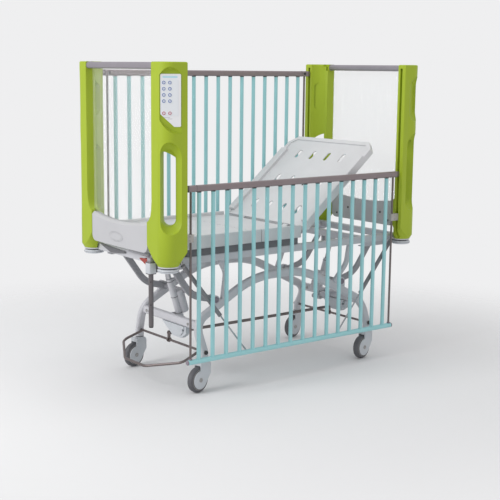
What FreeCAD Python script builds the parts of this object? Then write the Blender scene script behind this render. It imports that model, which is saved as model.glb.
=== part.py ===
import FreeCAD, Part
import math
import os

from FreeCAD import Vector as V

# Paediatric hospital cot with two counterweighted drop sides.
# Frame: +X to the head end, +Y to the far long side, +Z up, floor at Z = 0, origin in the middle.
# Rest position: near side (-Y) lowered, far side (+Y) raised, backrest raised.

# ---------------------------------------------------------------- drop sides
bar_count = 16            # bars in one side
bar_pitch = 80.0          # distance between bars, 60 mm clear
bar_d = 20.0
bar_wall = 1.5
side_off_deck = 35.0      # edge of the deck to the middle plane of each drop side
side_h = 813.0            # bottom rail centre to top rail centre
side_low_z = 176.0        # bottom rail centre with the side lowered
side_travel = 514.0       # lowered to raised
bottom_rail_d = 25.0
top_rail_w = 26.0
top_rail_h = 30.0
top_rail_edge = 8.0       # rounding along the top rail
end_rod_d = 11.0          # guide rod at each end of a side
end_rod_gap = 47.0        # last bar to guide rod
rail_overhang = 15.0      # rail past the guide rod
slider_t = 14.0           # tongue that runs in the post groove
slider_len = 40.0
slider_h = 26.0

# ---------------------------------------------------------------- corner posts
post_gap = 23.0           # end of the rails to the face of the post
post_side_wing = 125.0    # post length along the cot
post_end_wing = 145.0     # post length across the cot
post_r = 60.0             # outer corner radius
post_cover_y = 30.0       # side plane to outer face of the post
post_side_t = 52.0        # thickness of the wing that carries the groove
post_end_t = 42.0         # thickness of the wing that carries the end panel
post_hollow_in = 20.0     # how far the inner scoop runs into the corner
post_base_z = 640.0
post_over_rail = 54.0     # post top above the raised top rail centre
post_foot_r = 48.0        # radius of the tapered foot
post_taper_h = 105.0
post_crown_r = 7.0        # rounding of the top edge
groove_play = 0.5         # each side of the slider
groove_depth = 24.0
facet_a = (50.0, -33.0)         # floor of the dishes, outward and sideways from the corner centre
facet_b = (15.0, 70.0)          # and where it runs out on the long side
dish_side = 12.0                # how far a dish tool reaches past both ends of the facet
dish_out = 30.0
dish_ramp = 42.0                # rise of the sloped ends of a dish over dish_out
dish_fall = 62.0                # fall of the upper end toward the long side
dish_bowl = 40.0                # rounding of the lower end
window_lo = (790.0, 1200.0)     # dish of the lower window
window_hi_drop = (295.0, 52.0)  # dish of the upper window, below the post top
window_rim = 36.0               # dish edge to the through window
window_u = (-24.0, 36.0)        # sides of a window
window_fall = 30.0
window_bowl = 30.0
panel_drop = (317.0, 34.0)      # recess of the control panel, below the post top
panel_rise = 26.0               # arch of its upper edge
panel_low_rise = 64.0           # rise of its lower edge toward the end
panel_ramp = 16.0

# ---------------------------------------------------------------- head and foot ends
end_rail_w = 38.0
end_rail_h = 32.0
end_rail_r = 12.0
end_rail_drop = 2.0       # below the post top
end_rail_in = 62.0        # how far it reaches over each post wing
pane_t = 8.0
pane_in = 12.0            # depth of the pane in the post grooves
pane_deep = 20.0          # depth of the pane in the cover, below the dip
pane_back = 26.0          # pane centre behind the outer face of the post
cover_t = 36.0
cover_z = (690.0, 832.0)  # bottom edge and top corners
cover_dip = 22.0          # sag of the top edge in the middle
cover_bulge = 6.0         # crown of the outer face
cover_bevel = 12.0        # bevel along the dipping edge
cover_corner_r = 34.0
cover_front = 4.0         # crown of the cover beyond the post face
seat_gap = 0.3            # clearance where one piece seats on another

# ---------------------------------------------------------------- bumper rollers
roller_d = 100.0
roller_t = 18.0
roller_edge = 8.0
roller_bore = 12.0
roller_boss_d = 28.0      # spacer between plate and roller
roller_drop = 1.0         # below the side tubes

# ---------------------------------------------------------------- platform frame
frame_z = 629.0           # underside of the side tubes
tube_h = 35.0
tube_w = 32.0
tube_y = 296.0            # centre of the side tubes
tube_end_x = 752.0        # outer face of the end tubes
cross_x = 500.0           # inner cross members
hinge_x = 65.0            # backrest hinge, cross member below it
member_w = 30.0
tube_edge = 5.0
plate_t = 6.0
roller_way_t = 4.0        # flanges of the channels for the lift arm wheels
roller_way_w = 30.0
roller_way_x = (515.0, 700.0)
roller_way_deep = 24.0    # lower flange below the side tube
landing_top_in = 8.0      # upper end of the curved brackets inside the middle of the side tube
landing_foot = (-426.0, (-368.0, 262.0, 560.0), -366.0)   # upper end, bend and lower end
landing_head = (418.0, (424.0, 262.0, 522.0), 350.0)
landing_w = 26.0
landing_t = 20.0
landing_r = 90.0
landing_pad = 1.0         # lower end above the arch

# ---------------------------------------------------------------- deck
deck_half_w = 330.0
deck_z = 700.0            # underside of the skirt
deck_h = 45.0
deck_lip = 18.0           # raised rim beside the mattress
deck_lip_w = 14.0
deck_wall = 5.0
deck_foot_x = 640.0
leg_joint_x = -205.0
deck_gap = 4.0            # between deck sections
rib_count = 3
rib_pitch = 42.0
rib_h = 8.0
rib_w = 22.0
back_len = 645.0
back_t = 30.0
back_rest_deg = 40.0
back_corner = 48.0
slot_len = 62.0           # along the backrest
slot_w = 25.0
slot_pitch = 117.0
slot_cols = 4
slot_row_at = (125.0, 322.0, 516.0)
rim_w = 24.0
back_rail_w = 48.0        # raised channel along both edges
back_rail_h = 12.0
back_rail_end = 62.0      # it stops below the top corners
deck_foot_w = 28.0        # blocks under the deck
deck_foot_at = (-575.0, -260.0, -120.0, -10.0)
rail_run = (-630.0, 44.0) # support rails on the side tubes
hinge_pin_d = 12.0
hinge_play = 0.3
hinge_z = 728.0
hinge_boss_d = 26.0
hinge_boss_w = 34.0
hinge_boss_y = 180.0
hinge_ear_t = 8.0
hinge_ear_w = 22.0

# ---------------------------------------------------------------- undercarriage
arch_y = 234.0            # middle plane of each arch above its legs
leg_y = 287.0             # the legs splay out to the castors
arch_w = 30.0
arch_h = 44.0
arch_round = 13.0
arch_top_z = 512.0
arch_corner = (-175.0, 150.0)   # where the slopes meet the level middle
shoulder_foot = (-528.0, 324.0)
shoulder_head = (568.0, 300.0)
leg_foot_x = -515.0
leg_head_x = 560.0
leg_end_z = 155.0
leg_bend_z = 190.0        # upright part above the castor
leg_bend_r = 60.0
arch_bend_r = 95.0
arch_top_r = 500.0
arm_ear_t = 22.0          # ears of the lift arm pivots on the arches
arm_ear_d = 42.0
brace_foot_x = -511.0     # cross tubes between the arches
brace_head_x = 548.0
brace_z = 306.0
brace_h = 42.0
brace_w = 34.0

# ---------------------------------------------------------------- castors
wheel_d = 125.0
wheel_w = 32.0
tyre_round = 12.0
trail = 42.0
castor_rest_deg = 12.0    # how far the castors stand turned
housing_top = 150.0
housing_wall = 4.0
housing_gap = 1.5         # wheel to housing cheek
housing_disc_r = 45.0     # round end of a cheek, concentric with the wheel
housing_front = 30.0      # cheeks ahead of the swivel axis
housing_knee_z = 88.0     # where the front of a cheek turns back to its round end
housing_toe_deg = 35.0    # where the front meets the round end, below the wheel centre
housing_top_r = 22.0
housing_roof_z = 129.0    # bridge over the wheel
housing_front_t = 5.5
housing_soft = 3.0
stem_d = 22.0
axle_d = 10.0

# ---------------------------------------------------------------- central brake
shaft_d = 12.0
shaft_z = 190.0
shaft_over = 3.0          # shaft end past the leg
shaft_play = 0.3
loop_d = 13.0
loop_y = (255.0, 268.0, 90.0)
loop_out = (110.0, 210.0)
loop_drop = (40.0, 80.0)
loop_r = 45.0
link_d = 16.0
link_z = 226.0
link_y = 0.0
crank_t = 8.0
crank_r = 13.0
crank_eye_d = 20.0
crank_w = 14.0
link_pin_d = 8.0
link_play = 0.8           # room for the arc of the crank
guide_t = 26.0            # brake guide mouldings under the cross tubes
guide_run = (-148.0, -34.0, 62.0)   # near end, belly and far end
guide_deep = (34.0, 62.0)
guide_hole = (-128.0, 14.0)         # place and diameter of the hole

# ---------------------------------------------------------------- lift
arm_pivot_x = -412.0
arm_pivot_z = 424.0
arm_wheel_x = -655.0
arm_wheel_d = 24.0
arm_h = 34.0
arm_t = 14.0
arm_y = 205.0
arm_wheel_y = 256.0       # wheels run beside the arms, inside the side tubes
arm_wheel_w = 20.0
arm_bend = (118.0, 26.0)  # bend of the arm from its pivot
arm_bend_r = 150.0
arm_eye_w = 18.0
arm_pin_in = 10.0         # end of the torsion tube inside the ear
arm_pin_d = 22.0
jack_low = (-455.0, 296.0)
jack_top = (-552.0, 602.0)
jack_d = 34.0
jack_len = 215.0
motor_d = 52.0
motor_len = 120.0
piston_d = 22.0
jack_pin_d = 10.0
jack_eye_d = 26.0
jack_play = 1.7           # room at the open upper pivot
jack_ear_y = 21.0         # inner face of the lower ears
jack_ear_t = 8.0

# ---------------------------------------------------------------- gas springs of the drop sides
gas_off_side = 27.0       # middle of the gas springs inside the drop side
gas_top_x = 682.0
gas_top_z = 646.0
gas_rail_x = 293.0
gas_rail_dz = -6.0        # lower ball below the bottom rail centre
gas_tube_d = 21.0
gas_neck = 34.9           # rod showing with the spring closed, eye to tube
gas_rod_in = 36.0         # rod left in the tube with the spring open
gas_rod_d = 8.0
gas_eye_d = 16.0
gas_eye_t = 9.0
gas_pin_d = 8.0
gas_play = 0.3

# ---------------------------------------------------------------- rail guides and small parts
guide_z = (744.0, 780.0)
guide_w = 24.0
guide_bore_play = 0.3
sleeve_d = 23.0
sleeve_x = 795.0
sleeve_y = 260.0
sleeve_z = (348.0, 652.0)
socket_w = 38.0
socket_z = (596.0, 652.0)
clamp_w = 26.0            # small block above the socket
clamp_top_z = 672.0
lever_y = 178.0
lever_t = 7.0
lever_in = 52.0            # reach of the wedge from its hub toward the middle
lever_out = 30.0           # and toward the side
lever_rise = 9.0
lever_drop = 22.0
lever_hub_d = 18.0
lever_hub_l = 26.0
key_d = 17.0
key_rise = 1.2
key_sheet_lift = 0.1
membrane_t = 1.0
label_w = 92.0
label_h = 232.0
label_drop = 53.0         # top of the label below the post top
label_cut = (62.0, 56.0)  # cut corner of the label
label_t = 3.0
label_margin = 4.0        # recess beyond each side of the label
key_cols = (-31.0, -4.0)
key_rows = 4
key_pitch = 27.0
key_first = 38.0          # first row below the label top
red_key_row = 172.0

# ---------------------------------------------------------------- derived places
last_bar_x = (bar_count - 1) / 2.0 * bar_pitch
end_rod_x = last_bar_x + end_rod_gap
rail_end_x = end_rod_x + rail_overhang
post_face_x = rail_end_x + post_gap
end_x = post_face_x + post_side_wing
corner_x = end_x - post_r
side_plane_y = deck_half_w + side_off_deck
gas_y = side_plane_y - gas_off_side
outer_y = side_plane_y + post_cover_y
corner_y = outer_y - post_r
wing_y = outer_y - post_end_wing
post_top_z = side_low_z + side_travel + side_h + post_over_rail
window_hi = (post_top_z - window_hi_drop[0], post_top_z - window_hi_drop[1])
panel_recess = (post_top_z - panel_drop[0], post_top_z - panel_drop[1])
frame_top = frame_z + tube_h
pane_x = end_x - pane_back
end_rail_z = post_top_z - end_rail_drop - end_rail_h
pane_low_z = cover_z[1] - cover_dip - pane_deep
gas_closed = math.hypot(gas_top_x - gas_rail_x, side_low_z + side_travel + gas_rail_dz - gas_top_z)
gas_open = math.hypot(gas_top_x - gas_rail_x, side_low_z + gas_rail_dz - gas_top_z)
gas_tube_len = gas_closed - gas_neck
arm_wheel_z = frame_z - roller_way_deep + roller_way_t + seat_gap + arm_wheel_d / 2.0
near, far = -1, 1
foot, head = -1, 1
SIDES = ((near, "near"), (far, "far"))
ENDS = ((foot, "foot"), (head, "head"))
side_z = {near: side_low_z, far: side_low_z + side_travel}


def box(x0, x1, y0, y1, z0, z1):
    """Box between two corners given in any order."""
    xs, ys, zs = sorted((x0, x1)), sorted((y0, y1)), sorted((z0, z1))
    return Part.makeBox(xs[1] - xs[0], ys[1] - ys[0], zs[1] - zs[0], V(xs[0], ys[0], zs[0]))


def cyl(d, start, end):
    """Round bar of diameter d from one point to another."""
    a, b = V(*start), V(*end)
    return Part.makeCylinder(d / 2.0, (b - a).Length, a, b - a)


def flip(shape, sx=1, sy=1):
    """Mirror a piece drawn in the +X +Y quarter into another quarter."""
    if sx < 0:
        shape = shape.mirror(V(0, 0, 0), V(1, 0, 0))
    if sy < 0:
        shape = shape.mirror(V(0, 0, 0), V(0, 1, 0))
    return shape


def bent_path(points, radii):
    """Wire through points with a tangent arc at each inner point; a radius of 0 keeps the corner."""
    pts = [V(*p) for p in points]
    edges, at = [], pts[0]
    for i in range(1, len(pts) - 1):
        a, b, c = pts[i - 1], pts[i], pts[i + 1]
        u, w = (a - b).normalize(), (c - b).normalize()
        half = u.getAngle(w) / 2.0
        cut = radii[i - 1] / math.tan(half)
        p, q = b + u * cut, b + w * cut
        mid = b + (u + w).normalize() * (radii[i - 1] / math.sin(half) - radii[i - 1])
        edges += [Part.LineSegment(at, p).toShape(), Part.Arc(p, mid, q).toShape()]
        at = q
    edges.append(Part.LineSegment(at, pts[-1]).toShape())
    return Part.Wire(edges)


def swept(profile, path):
    """Solid of a closed profile carried along a path."""
    return path.makePipeShell([profile], True, False)


def round_bar(points, radii, d):
    """Bent round bar."""
    path = bent_path(points, radii)
    a, b = V(*points[0]), V(*points[1])
    return swept(Part.Wire(Part.makeCircle(d / 2.0, a, b - a)), path)


def oval(centre, n1, n2, h, w, r):
    """Rounded rectangle wire, h along n1 and w along n2."""
    c, a, b = V(*centre), V(*n1).normalize(), V(*n2).normalize()
    edges, hh, hw, k = [], h / 2.0, w / 2.0, r * (1 - math.sqrt(0.5))
    for i, (s, t) in enumerate(((1, 1), (-1, 1), (-1, -1), (1, -1))):
        flatter = i % 2 == 0
        p = c + a * (s * (hh - (0 if flatter else r))) + b * (t * (hw - (r if flatter else 0)))
        q = c + a * (s * (hh - (r if flatter else 0))) + b * (t * (hw - (0 if flatter else r)))
        m = c + a * (s * (hh - k)) + b * (t * (hw - k))
        edges.append(Part.Arc(p, m, q).toShape())
    for i in range(4):
        edges.append(Part.LineSegment(edges[i].lastVertex(True).Point,
                                      edges[(i + 1) % 4].firstVertex(True).Point).toShape())
    return Part.Wire(Part.__sortEdges__(edges))


def rounded_bar(x0, x1, y, z, w, h, r):
    """Bar along X with a rounded section."""
    face = Part.Face(oval((x0, y, z), (0, 0, 1), (0, 1, 0), h, w, r))
    return face.extrude(V(x1 - x0, 0, 0))


def cross_bar(x, y0, y1, z, w, h, r):
    """Bar along Y with a rounded section."""
    face = Part.Face(oval((x, y0, z), (0, 0, 1), (1, 0, 0), h, w, r))
    return face.extrude(V(0, y1 - y0, 0))


def edges_along(shape, axis, test=None):
    """Straight edges of a shape that run along an axis."""
    found = []
    for e in shape.Edges:
        if not isinstance(e.Curve, (Part.Line, Part.LineSegment)):
            continue
        d = (e.Vertexes[-1].Point - e.Vertexes[0].Point).normalize()
        if abs(abs(d.dot(axis)) - 1) < 1e-6 and (test is None or test(e.CenterOfMass)):
            found.append(e)
    return found


def turned(shape, centre, axis, degrees):
    """Copy of a shape turned about a line."""
    out = shape.copy()
    out.rotate(V(*centre), V(*axis), degrees)
    return out


def prism(points, offset):
    """Extrusion of a planar polygon."""
    return Part.Face(Part.makePolygon([V(*p) for p in points + points[:1]])).extrude(V(*offset))


def on_facet(shape, off=0.0):
    """Carry a piece drawn about the +X axis to the slanted facet of the +X +Y post."""
    (da, ua), (db, ub) = facet_a, facet_b
    d, u, k = (da + db) / 2.0, (ua + ub) / 2.0, math.sqrt(0.5)
    out = shape.copy()
    out.translate(V(off, 0, 0))
    out.rotate(V(0, 0, 0), V(0, 0, 1), 45 + math.degrees(math.atan2(da - db, ub - ua)))
    out.translate(V(corner_x + k * (d - u), corner_y + k * (d + u), 0))
    return out


def outline(out, low, top):
    """Upright closed wire with a curved lower and upper end, each given by three (across, height) points."""
    a, m, b = [V(out, y, z) for y, z in low]
    c, n, d = [V(out, y, z) for y, z in top]
    return Part.Wire([Part.Arc(a, m, b).toShape(), Part.LineSegment(b, d).toShape(),
                      Part.Arc(d, n, c).toShape(), Part.LineSegment(c, a).toShape()])


def dish_tool(low, top, ramp):
    """Tool that opens a dish with sloped ends on the facet."""
    wires = [outline(out, [(y, z - grow) for y, z in low], [(y, z + grow) for y, z in top])
             for out, grow in ((0.0, 0.0), (dish_out, ramp))]
    return on_facet(Part.makeLoft(wires, True, True))


def teardrop(y0, y1, z0, z1, bowl, fall):
    """Lower and upper end of a dish or window: a bowl below, a crest that falls to one side above."""
    mid = (y0 + y1) / 2.0
    return ([(y0, z0 + bowl), (mid, z0), (y1, z0 + bowl)],
            [(y0, z1), (mid, z1 - 0.36 * fall), (y1, z1 - fall)])


# ================================================================ corner posts
def post(with_panel):
    """Moulded corner post in the +X +Y quarter, with its grooves, dishes and windows."""
    k = math.sqrt(0.5)
    plan = Part.Wire([
        Part.LineSegment(V(end_x - post_end_t, wing_y, 0), V(end_x, wing_y, 0)).toShape(),
        Part.LineSegment(V(end_x, wing_y, 0), V(end_x, corner_y, 0)).toShape(),
        Part.Arc(V(end_x, corner_y, 0), V(corner_x + post_r * k, corner_y + post_r * k, 0),
                 V(corner_x, outer_y, 0)).toShape(),
        Part.LineSegment(V(corner_x, outer_y, 0), V(post_face_x, outer_y, 0)).toShape(),
        Part.LineSegment(V(post_face_x, outer_y, 0), V(post_face_x, outer_y - post_side_t, 0)).toShape(),
        Part.Arc(V(post_face_x, outer_y - post_side_t, 0),
                 V(corner_x - post_hollow_in * k, corner_y - post_hollow_in * k, 0),
                 V(end_x - post_end_t, wing_y, 0)).toShape()])
    body = Part.Face(plan).extrude(V(0, 0, post_top_z - post_base_z))
    body.translate(V(0, 0, post_base_z))
    reach = post_end_wing + post_side_wing
    top_r = post_foot_r + (post_side_wing + post_end_wing) / 2.0 - post_foot_r - 22.0
    foot_cone = Part.makeCone(post_foot_r, top_r, post_taper_h, V(corner_x, corner_y, post_base_z))
    upper = Part.makeCylinder(reach, post_top_z - post_base_z - post_taper_h,
                              V(corner_x, corner_y, post_base_z + post_taper_h))
    body = body.common(foot_cone.fuse(upper))
    top = [e for e in body.Edges if all(abs(v.Point.z - post_top_z) < 0.01 for v in e.Vertexes)
           and e.CenterOfMass.x + e.CenterOfMass.y > corner_x + corner_y - post_r]
    body = body.makeFillet(post_crown_r, top)
    # groove for the slider of the drop side
    half = slider_t / 2.0 + groove_play
    groove = box(post_face_x - 1, post_face_x + groove_depth, side_plane_y - half, side_plane_y + half,
                 post_base_z - 1, post_top_z - post_crown_r - 12.0)
    # groove for the clear pane, and the seat of the end rail
    pane_half = pane_t / 2.0 + seat_gap
    pane_slot = box(pane_x - pane_half, pane_x + pane_half, wing_y - 1, wing_y + pane_in + seat_gap,
                    cover_z[0], post_top_z)
    rail_seat = box(end_x - post_end_t - 60, end_x + 5, wing_y - 5, wing_y + end_rail_in + seat_gap,
                    end_rail_z - seat_gap, post_top_z + 5)
    body = body.cut(groove.fuse([pane_slot, rail_seat]))
    # dishes on the corner and the windows through them
    half_facet = math.hypot(facet_a[0] - facet_b[0], facet_a[1] - facet_b[1]) / 2.0
    wide = half_facet + dish_side
    pairs = [window_lo] if with_panel else [window_lo, window_hi]
    for z0, z1 in pairs:
        low, high = teardrop(-wide, wide, z0, z1, dish_bowl, dish_fall)
        body = body.cut(dish_tool(low, high, dish_ramp))
        low, high = teardrop(window_u[0], window_u[1], z0 + window_rim, z1 - window_rim, window_bowl, window_fall)
        hole = Part.Face(outline(-reach, low, high)).extrude(V(2 * reach, 0, 0))
        hole.rotate(V(0, 0, 0), V(0, 0, 1), 45)
        hole.translate(V(corner_x, corner_y, 0))
        body = body.cut(hole)
    if with_panel:
        z0, z1 = panel_recess
        wide = label_w / 2.0 + label_margin
        low = [(-wide, z0 + panel_low_rise), (0, z0 + 0.28 * panel_low_rise), (wide, z0)]
        high = [(-wide, z1 - panel_rise), (0, z1), (wide, z1 - panel_rise)]
        body = body.cut(dish_tool(low, high, panel_ramp))
    return body


# ================================================================ head and foot ends
def end_rail():
    """Top rail of an end, resting on the two post wings."""
    y1 = wing_y + end_rail_in
    bar = cross_bar(end_x - end_rail_w / 2.0 - 3.0, -y1, y1, end_rail_z + end_rail_h / 2.0,
                    end_rail_w, end_rail_h, end_rail_r)
    return bar


def end_pane():
    """Clear pane held in the posts, the cover and under the end rail."""
    y1 = wing_y + pane_in
    return box(pane_x - pane_t / 2.0, pane_x + pane_t / 2.0, -y1, y1, pane_low_z, end_rail_z - seat_gap)


def end_cover():
    """Moulded cover across an end, with a dipping top edge and a crowned outer face."""
    y1 = wing_y - seat_gap
    z0, z1 = cover_z
    outer = end_x + cover_front
    x0, x1 = outer - cover_t, outer - cover_bulge
    plan = Part.Wire([
        Part.LineSegment(V(x0, y1, z0), V(x0, -y1, z0)).toShape(),
        Part.LineSegment(V(x0, -y1, z0), V(x1, -y1, z0)).toShape(),
        Part.Arc(V(x1, -y1, z0), V(outer, 0, z0), V(x1, y1, z0)).toShape(),
        Part.LineSegment(V(x1, y1, z0), V(x0, y1, z0)).toShape()])
    body = Part.Face(plan).extrude(V(0, 0, z1 - z0))
    dip_r = (y1 * y1 + cover_dip ** 2) / (2 * cover_dip)
    dip_c = V(x0 - 1, 0, z1 - cover_dip + dip_r)
    dip = Part.makeCylinder(dip_r, cover_t + 2, dip_c, V(1, 0, 0))
    dip.rotate(dip_c, V(1, 0, 0), 90)
    body = body.cut(dip)
    rim = [e for e in body.Edges if e.CenterOfMass.x > x1 and e.CenterOfMass.z > z1 - 2 * cover_dip and e.Length > y1]
    body = body.makeChamfer(cover_bevel, rim)
    low = edges_along(body, V(1, 0, 0), lambda c: c.z < z0 + 1)
    body = body.makeFillet(cover_corner_r, low)
    half = pane_t / 2.0 + seat_gap
    low = pane_low_z - seat_gap
    return body.cut(box(pane_x - half, pane_x + half, -y1 - 1, y1 + 1, low, z1 + 5))


# ================================================================ drop sides
def grille(z0):
    """Bars welded to the bottom rail, with the two ball brackets of the gas springs."""
    zt = z0 + side_h - top_rail_h / 2.0 - seat_gap
    rail = Part.makeCylinder(bottom_rail_d / 2.0, 2 * rail_end_x, V(-rail_end_x, side_plane_y, z0),
                             V(1, 0, 0))
    ends = [e for e in rail.Edges if abs(abs(e.CenterOfMass.x) - rail_end_x) < 0.01]
    rail = rail.makeFillet(5.0, ends)
    bars = [cyl(bar_d, ((i - (bar_count - 1) / 2.0) * bar_pitch, side_plane_y, z0),
                ((i - (bar_count - 1) / 2.0) * bar_pitch, side_plane_y, zt)) for i in range(bar_count)]
    bores = [cyl(bar_d - 2 * bar_wall, ((i - (bar_count - 1) / 2.0) * bar_pitch, side_plane_y,
                                        z0 + bottom_rail_d / 2.0),
                 ((i - (bar_count - 1) / 2.0) * bar_pitch, side_plane_y, zt + 1)) for i in range(bar_count)]
    inner = gas_y + gas_eye_t / 2.0 + seat_gap
    lugs = [cyl(gas_eye_d - 2, (s * gas_rail_x, inner, z0 + gas_rail_dz),
                (s * gas_rail_x, side_plane_y, z0 + gas_rail_dz)) for s in (-1, 1)]
    rods = [cyl(end_rod_d + 2 * seat_gap, (s * end_rod_x, side_plane_y, z0),
                (s * end_rod_x, side_plane_y, z0 + bottom_rail_d)) for s in (-1, 1)]
    return rail.fuse(bars + lugs).cut(bores + rods)


def top_rail(z0):
    """Top rail with the sliders that run in the post grooves."""
    z = z0 + side_h
    rail = rounded_bar(-rail_end_x, rail_end_x, side_plane_y, z, top_rail_w, top_rail_h, top_rail_edge)
    tongues = [rounded_bar(s * (rail_end_x - 12), s * (rail_end_x + slider_len), side_plane_y, z,
                           slider_t, slider_h, 4.0) for s in (-1, 1)]
    return rail.fuse(tongues)


def guide_rods(z0):
    """Two plain rods that join the rails and slide through the guides on the posts."""
    z1 = z0 + side_h - top_rail_h / 2.0 - seat_gap
    return [cyl(end_rod_d, (s * end_rod_x, side_plane_y, z0 + seat_gap), (s * end_rod_x, side_plane_y, z1))
            for s in (-1, 1)]


def rail_guides():
    """Four guide blocks on the faces of the post wings."""
    out = []
    for sx in (foot, head):
        for sy in (near, far):
            b = box(end_rod_x - guide_w / 2.0, post_face_x - seat_gap, side_plane_y - guide_w / 2.0,
                    side_plane_y + guide_w / 2.0, guide_z[0], guide_z[1])
            b = b.makeFillet(5.0, edges_along(b, V(0, 0, 1), lambda c: c.x < post_face_x - 5))
            b = b.cut(cyl(end_rod_d + 2 * guide_bore_play, (end_rod_x, side_plane_y, guide_z[0] - 1),
                          (end_rod_x, side_plane_y, guide_z[1] + 1)))
            out.append(flip(b, sx, sy))
    return out


# ================================================================ platform frame
def arch_middle(x):
    """Height of the middle of the arch on one of its slopes."""
    corner, shoulder = (arch_corner[1], shoulder_head) if x > 0 else (arch_corner[0], shoulder_foot)
    return arch_top_z + (shoulder[1] - arch_top_z) * (x - corner) / (shoulder[0] - corner)


def landing(top_x, bend, low_x):
    """Curved bracket that hangs from a side tube and comes down on the arch."""
    points = [(top_x, tube_y - landing_top_in, frame_z + 2), bend, (low_x, arch_y, arch_middle(low_x))]
    along = V(*points[1]) - V(*points[0])
    across = V(0, 1, 0).cross(along)
    section = oval(points[0], tuple(across), tuple(across.cross(along)), landing_w, landing_t, 6.0)
    return swept(section, bent_path(points, [landing_r])).cut(arch_bar(landing_pad))


def platform_frame():
    """Welded frame of the sleeping platform with its post plates, channels and brackets."""
    zc = frame_z + tube_h / 2.0
    side = [rounded_bar(-tube_end_x + 10, tube_end_x - 10, s * tube_y, zc, tube_w, tube_h, tube_edge)
            for s in (-1, 1)]
    cross = [cross_bar(x, -tube_y, tube_y, zc, member_w, tube_h, tube_edge)
             for x in (-tube_end_x + member_w / 2.0, -cross_x, hinge_x, cross_x, tube_end_x - member_w / 2.0)]
    parts = side + cross
    for sx in (foot, head):
        for sy in (near, far):
            # plate under the post, round at the corner
            pad = Part.makeCylinder(post_foot_r, plate_t, V(corner_x, corner_y, post_base_z - plate_t - seat_gap))
            arm = box(corner_x - 40, corner_x, tube_y - 5, corner_y + 20, post_base_z - plate_t - seat_gap,
                      post_base_z - seat_gap)
            pin = cyl(roller_bore - 2 * seat_gap, (corner_x, corner_y, post_base_z - plate_t),
                      (corner_x, corner_y, frame_z - roller_drop - roller_t))
            spacer = cyl(roller_boss_d, (corner_x, corner_y, post_base_z - plate_t),
                         (corner_x, corner_y, frame_z - roller_drop + seat_gap))
            # pin of the gas spring and the channel of the lift arm wheel
            gas_pin = cyl(gas_pin_d, (gas_top_x, tube_y, gas_top_z),
                          (gas_top_x, gas_y + gas_eye_t / 2.0 + 2, gas_top_z))
            x0, x1 = roller_way_x
            y1 = tube_y - tube_w / 2.0 + 2
            web = box(x0, x1, y1 - 6, y1 + 8, frame_z - roller_way_deep, frame_z + 8)
            upper = box(x0, x1, y1 - roller_way_w, y1, frame_z + 12, frame_z + 12 + roller_way_t)
            web2 = box(x0, x1, y1 - 6, y1 + 8, frame_z + 6, frame_z + 16)
            lower = box(x0, x1, y1 - roller_way_w, y1, frame_z - roller_way_deep,
                        frame_z - roller_way_deep + roller_way_t)
            parts += [flip(p, sx, sy) for p in (pad, arm, pin, spacer, gas_pin, web, web2, upper, lower)]
    for sy in (near, far):
        parts += [flip(landing(*landing_foot), 1, sy), flip(landing(*landing_head), 1, sy)]
    # brackets of the two lift jacks
    for sx in (foot, head):
        x = jack_top[0] * -1
        for s in (-1, 1):
            ear = box(cross_x - 6, x + 14, s * 15 - 4, s * 15 + 4, jack_top[1] - 14, frame_z + 8)
            parts.append(flip(ear, sx, 1))
        parts.append(flip(cyl(jack_pin_d, (x, -19, jack_top[1]), (x, 19, jack_top[1])), sx, 1))
    # ears that carry the backrest pins
    for s in (-1, 1):
        for side_of in (-1, 1):
            y = s * hinge_boss_y + side_of * (hinge_boss_w / 2.0 + hinge_ear_t / 2.0 + 1.0)
            y0, y1 = y - hinge_ear_t / 2.0, y + hinge_ear_t / 2.0
            ear = box(hinge_x - hinge_ear_w / 2.0, hinge_x + hinge_ear_w / 2.0, y0, y1, frame_z + 10, hinge_z)
            ear = ear.fuse(cyl(hinge_ear_w, (hinge_x, y0, hinge_z), (hinge_x, y1, hinge_z)))
            parts.append(ear.cut(cyl(hinge_pin_d + 2 * hinge_play, (hinge_x, y0 - 1, hinge_z),
                                     (hinge_x, y1 + 1, hinge_z))))
    parts.append(cross_bar(leg_joint_x, -tube_y, tube_y, zc, member_w, tube_h, tube_edge))
    body = parts[0].fuse(parts[1:])
    return body.removeSplitter()


def bumper_rollers():
    """Four wall bumper rollers under the posts."""
    out = []
    z1 = frame_z - roller_drop
    for sx in (foot, head):
        for sy in (near, far):
            c = V(corner_x, corner_y, z1 - roller_t)
            disc = Part.makeCylinder(roller_d / 2.0, roller_t, c)
            disc = disc.makeFillet(roller_edge, [e for e in disc.Edges if isinstance(e.Curve, Part.Circle)])
            out.append(flip(disc.cut(Part.makeCylinder(roller_bore / 2.0, roller_t + 2, c - V(0, 0, 1))),
                            sx, sy))
    return out


# ================================================================ deck
def deck_shell(x0, x1):
    """Moulded deck section open below, with a raised rim along both sides."""
    w, t = deck_half_w, deck_wall
    top = deck_z + deck_h
    body = box(x0, x1, -w, w, deck_z, top)
    body = body.makeFillet(6.0, edges_along(body, V(1, 0, 0), lambda c: c.z < deck_z + 1))
    for s in (-1, 1):
        lip = box(x0, x1, s * (w - deck_lip_w), s * w, top - 10, top + deck_lip)
        lip = lip.makeFillet(5.0, edges_along(lip, V(1, 0, 0), lambda c: c.z > top))
        body = body.fuse(lip)
    body = body.cut(box(x0 + t, x1 - t, -w + t + deck_lip_w / 2.0, w - t - deck_lip_w / 2.0,
                        deck_z - 1, top - t))
    return body


def deck_seat():
    """Fixed seat section on the platform frame."""
    body = deck_shell(leg_joint_x + deck_gap / 2.0, hinge_x - hinge_boss_d / 2.0 - deck_gap)
    return body.fuse(deck_feet(deck_foot_at[2:]))


def deck_feet(places):
    """Blocks inside a deck section that stand on the support rails."""
    h = deck_foot_w / 2.0
    return [box(x - h, x + h, s * tube_y - h, s * tube_y + h, deck_z, deck_z + deck_h - 2)
            for x in places for s in (-1, 1)]


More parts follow.
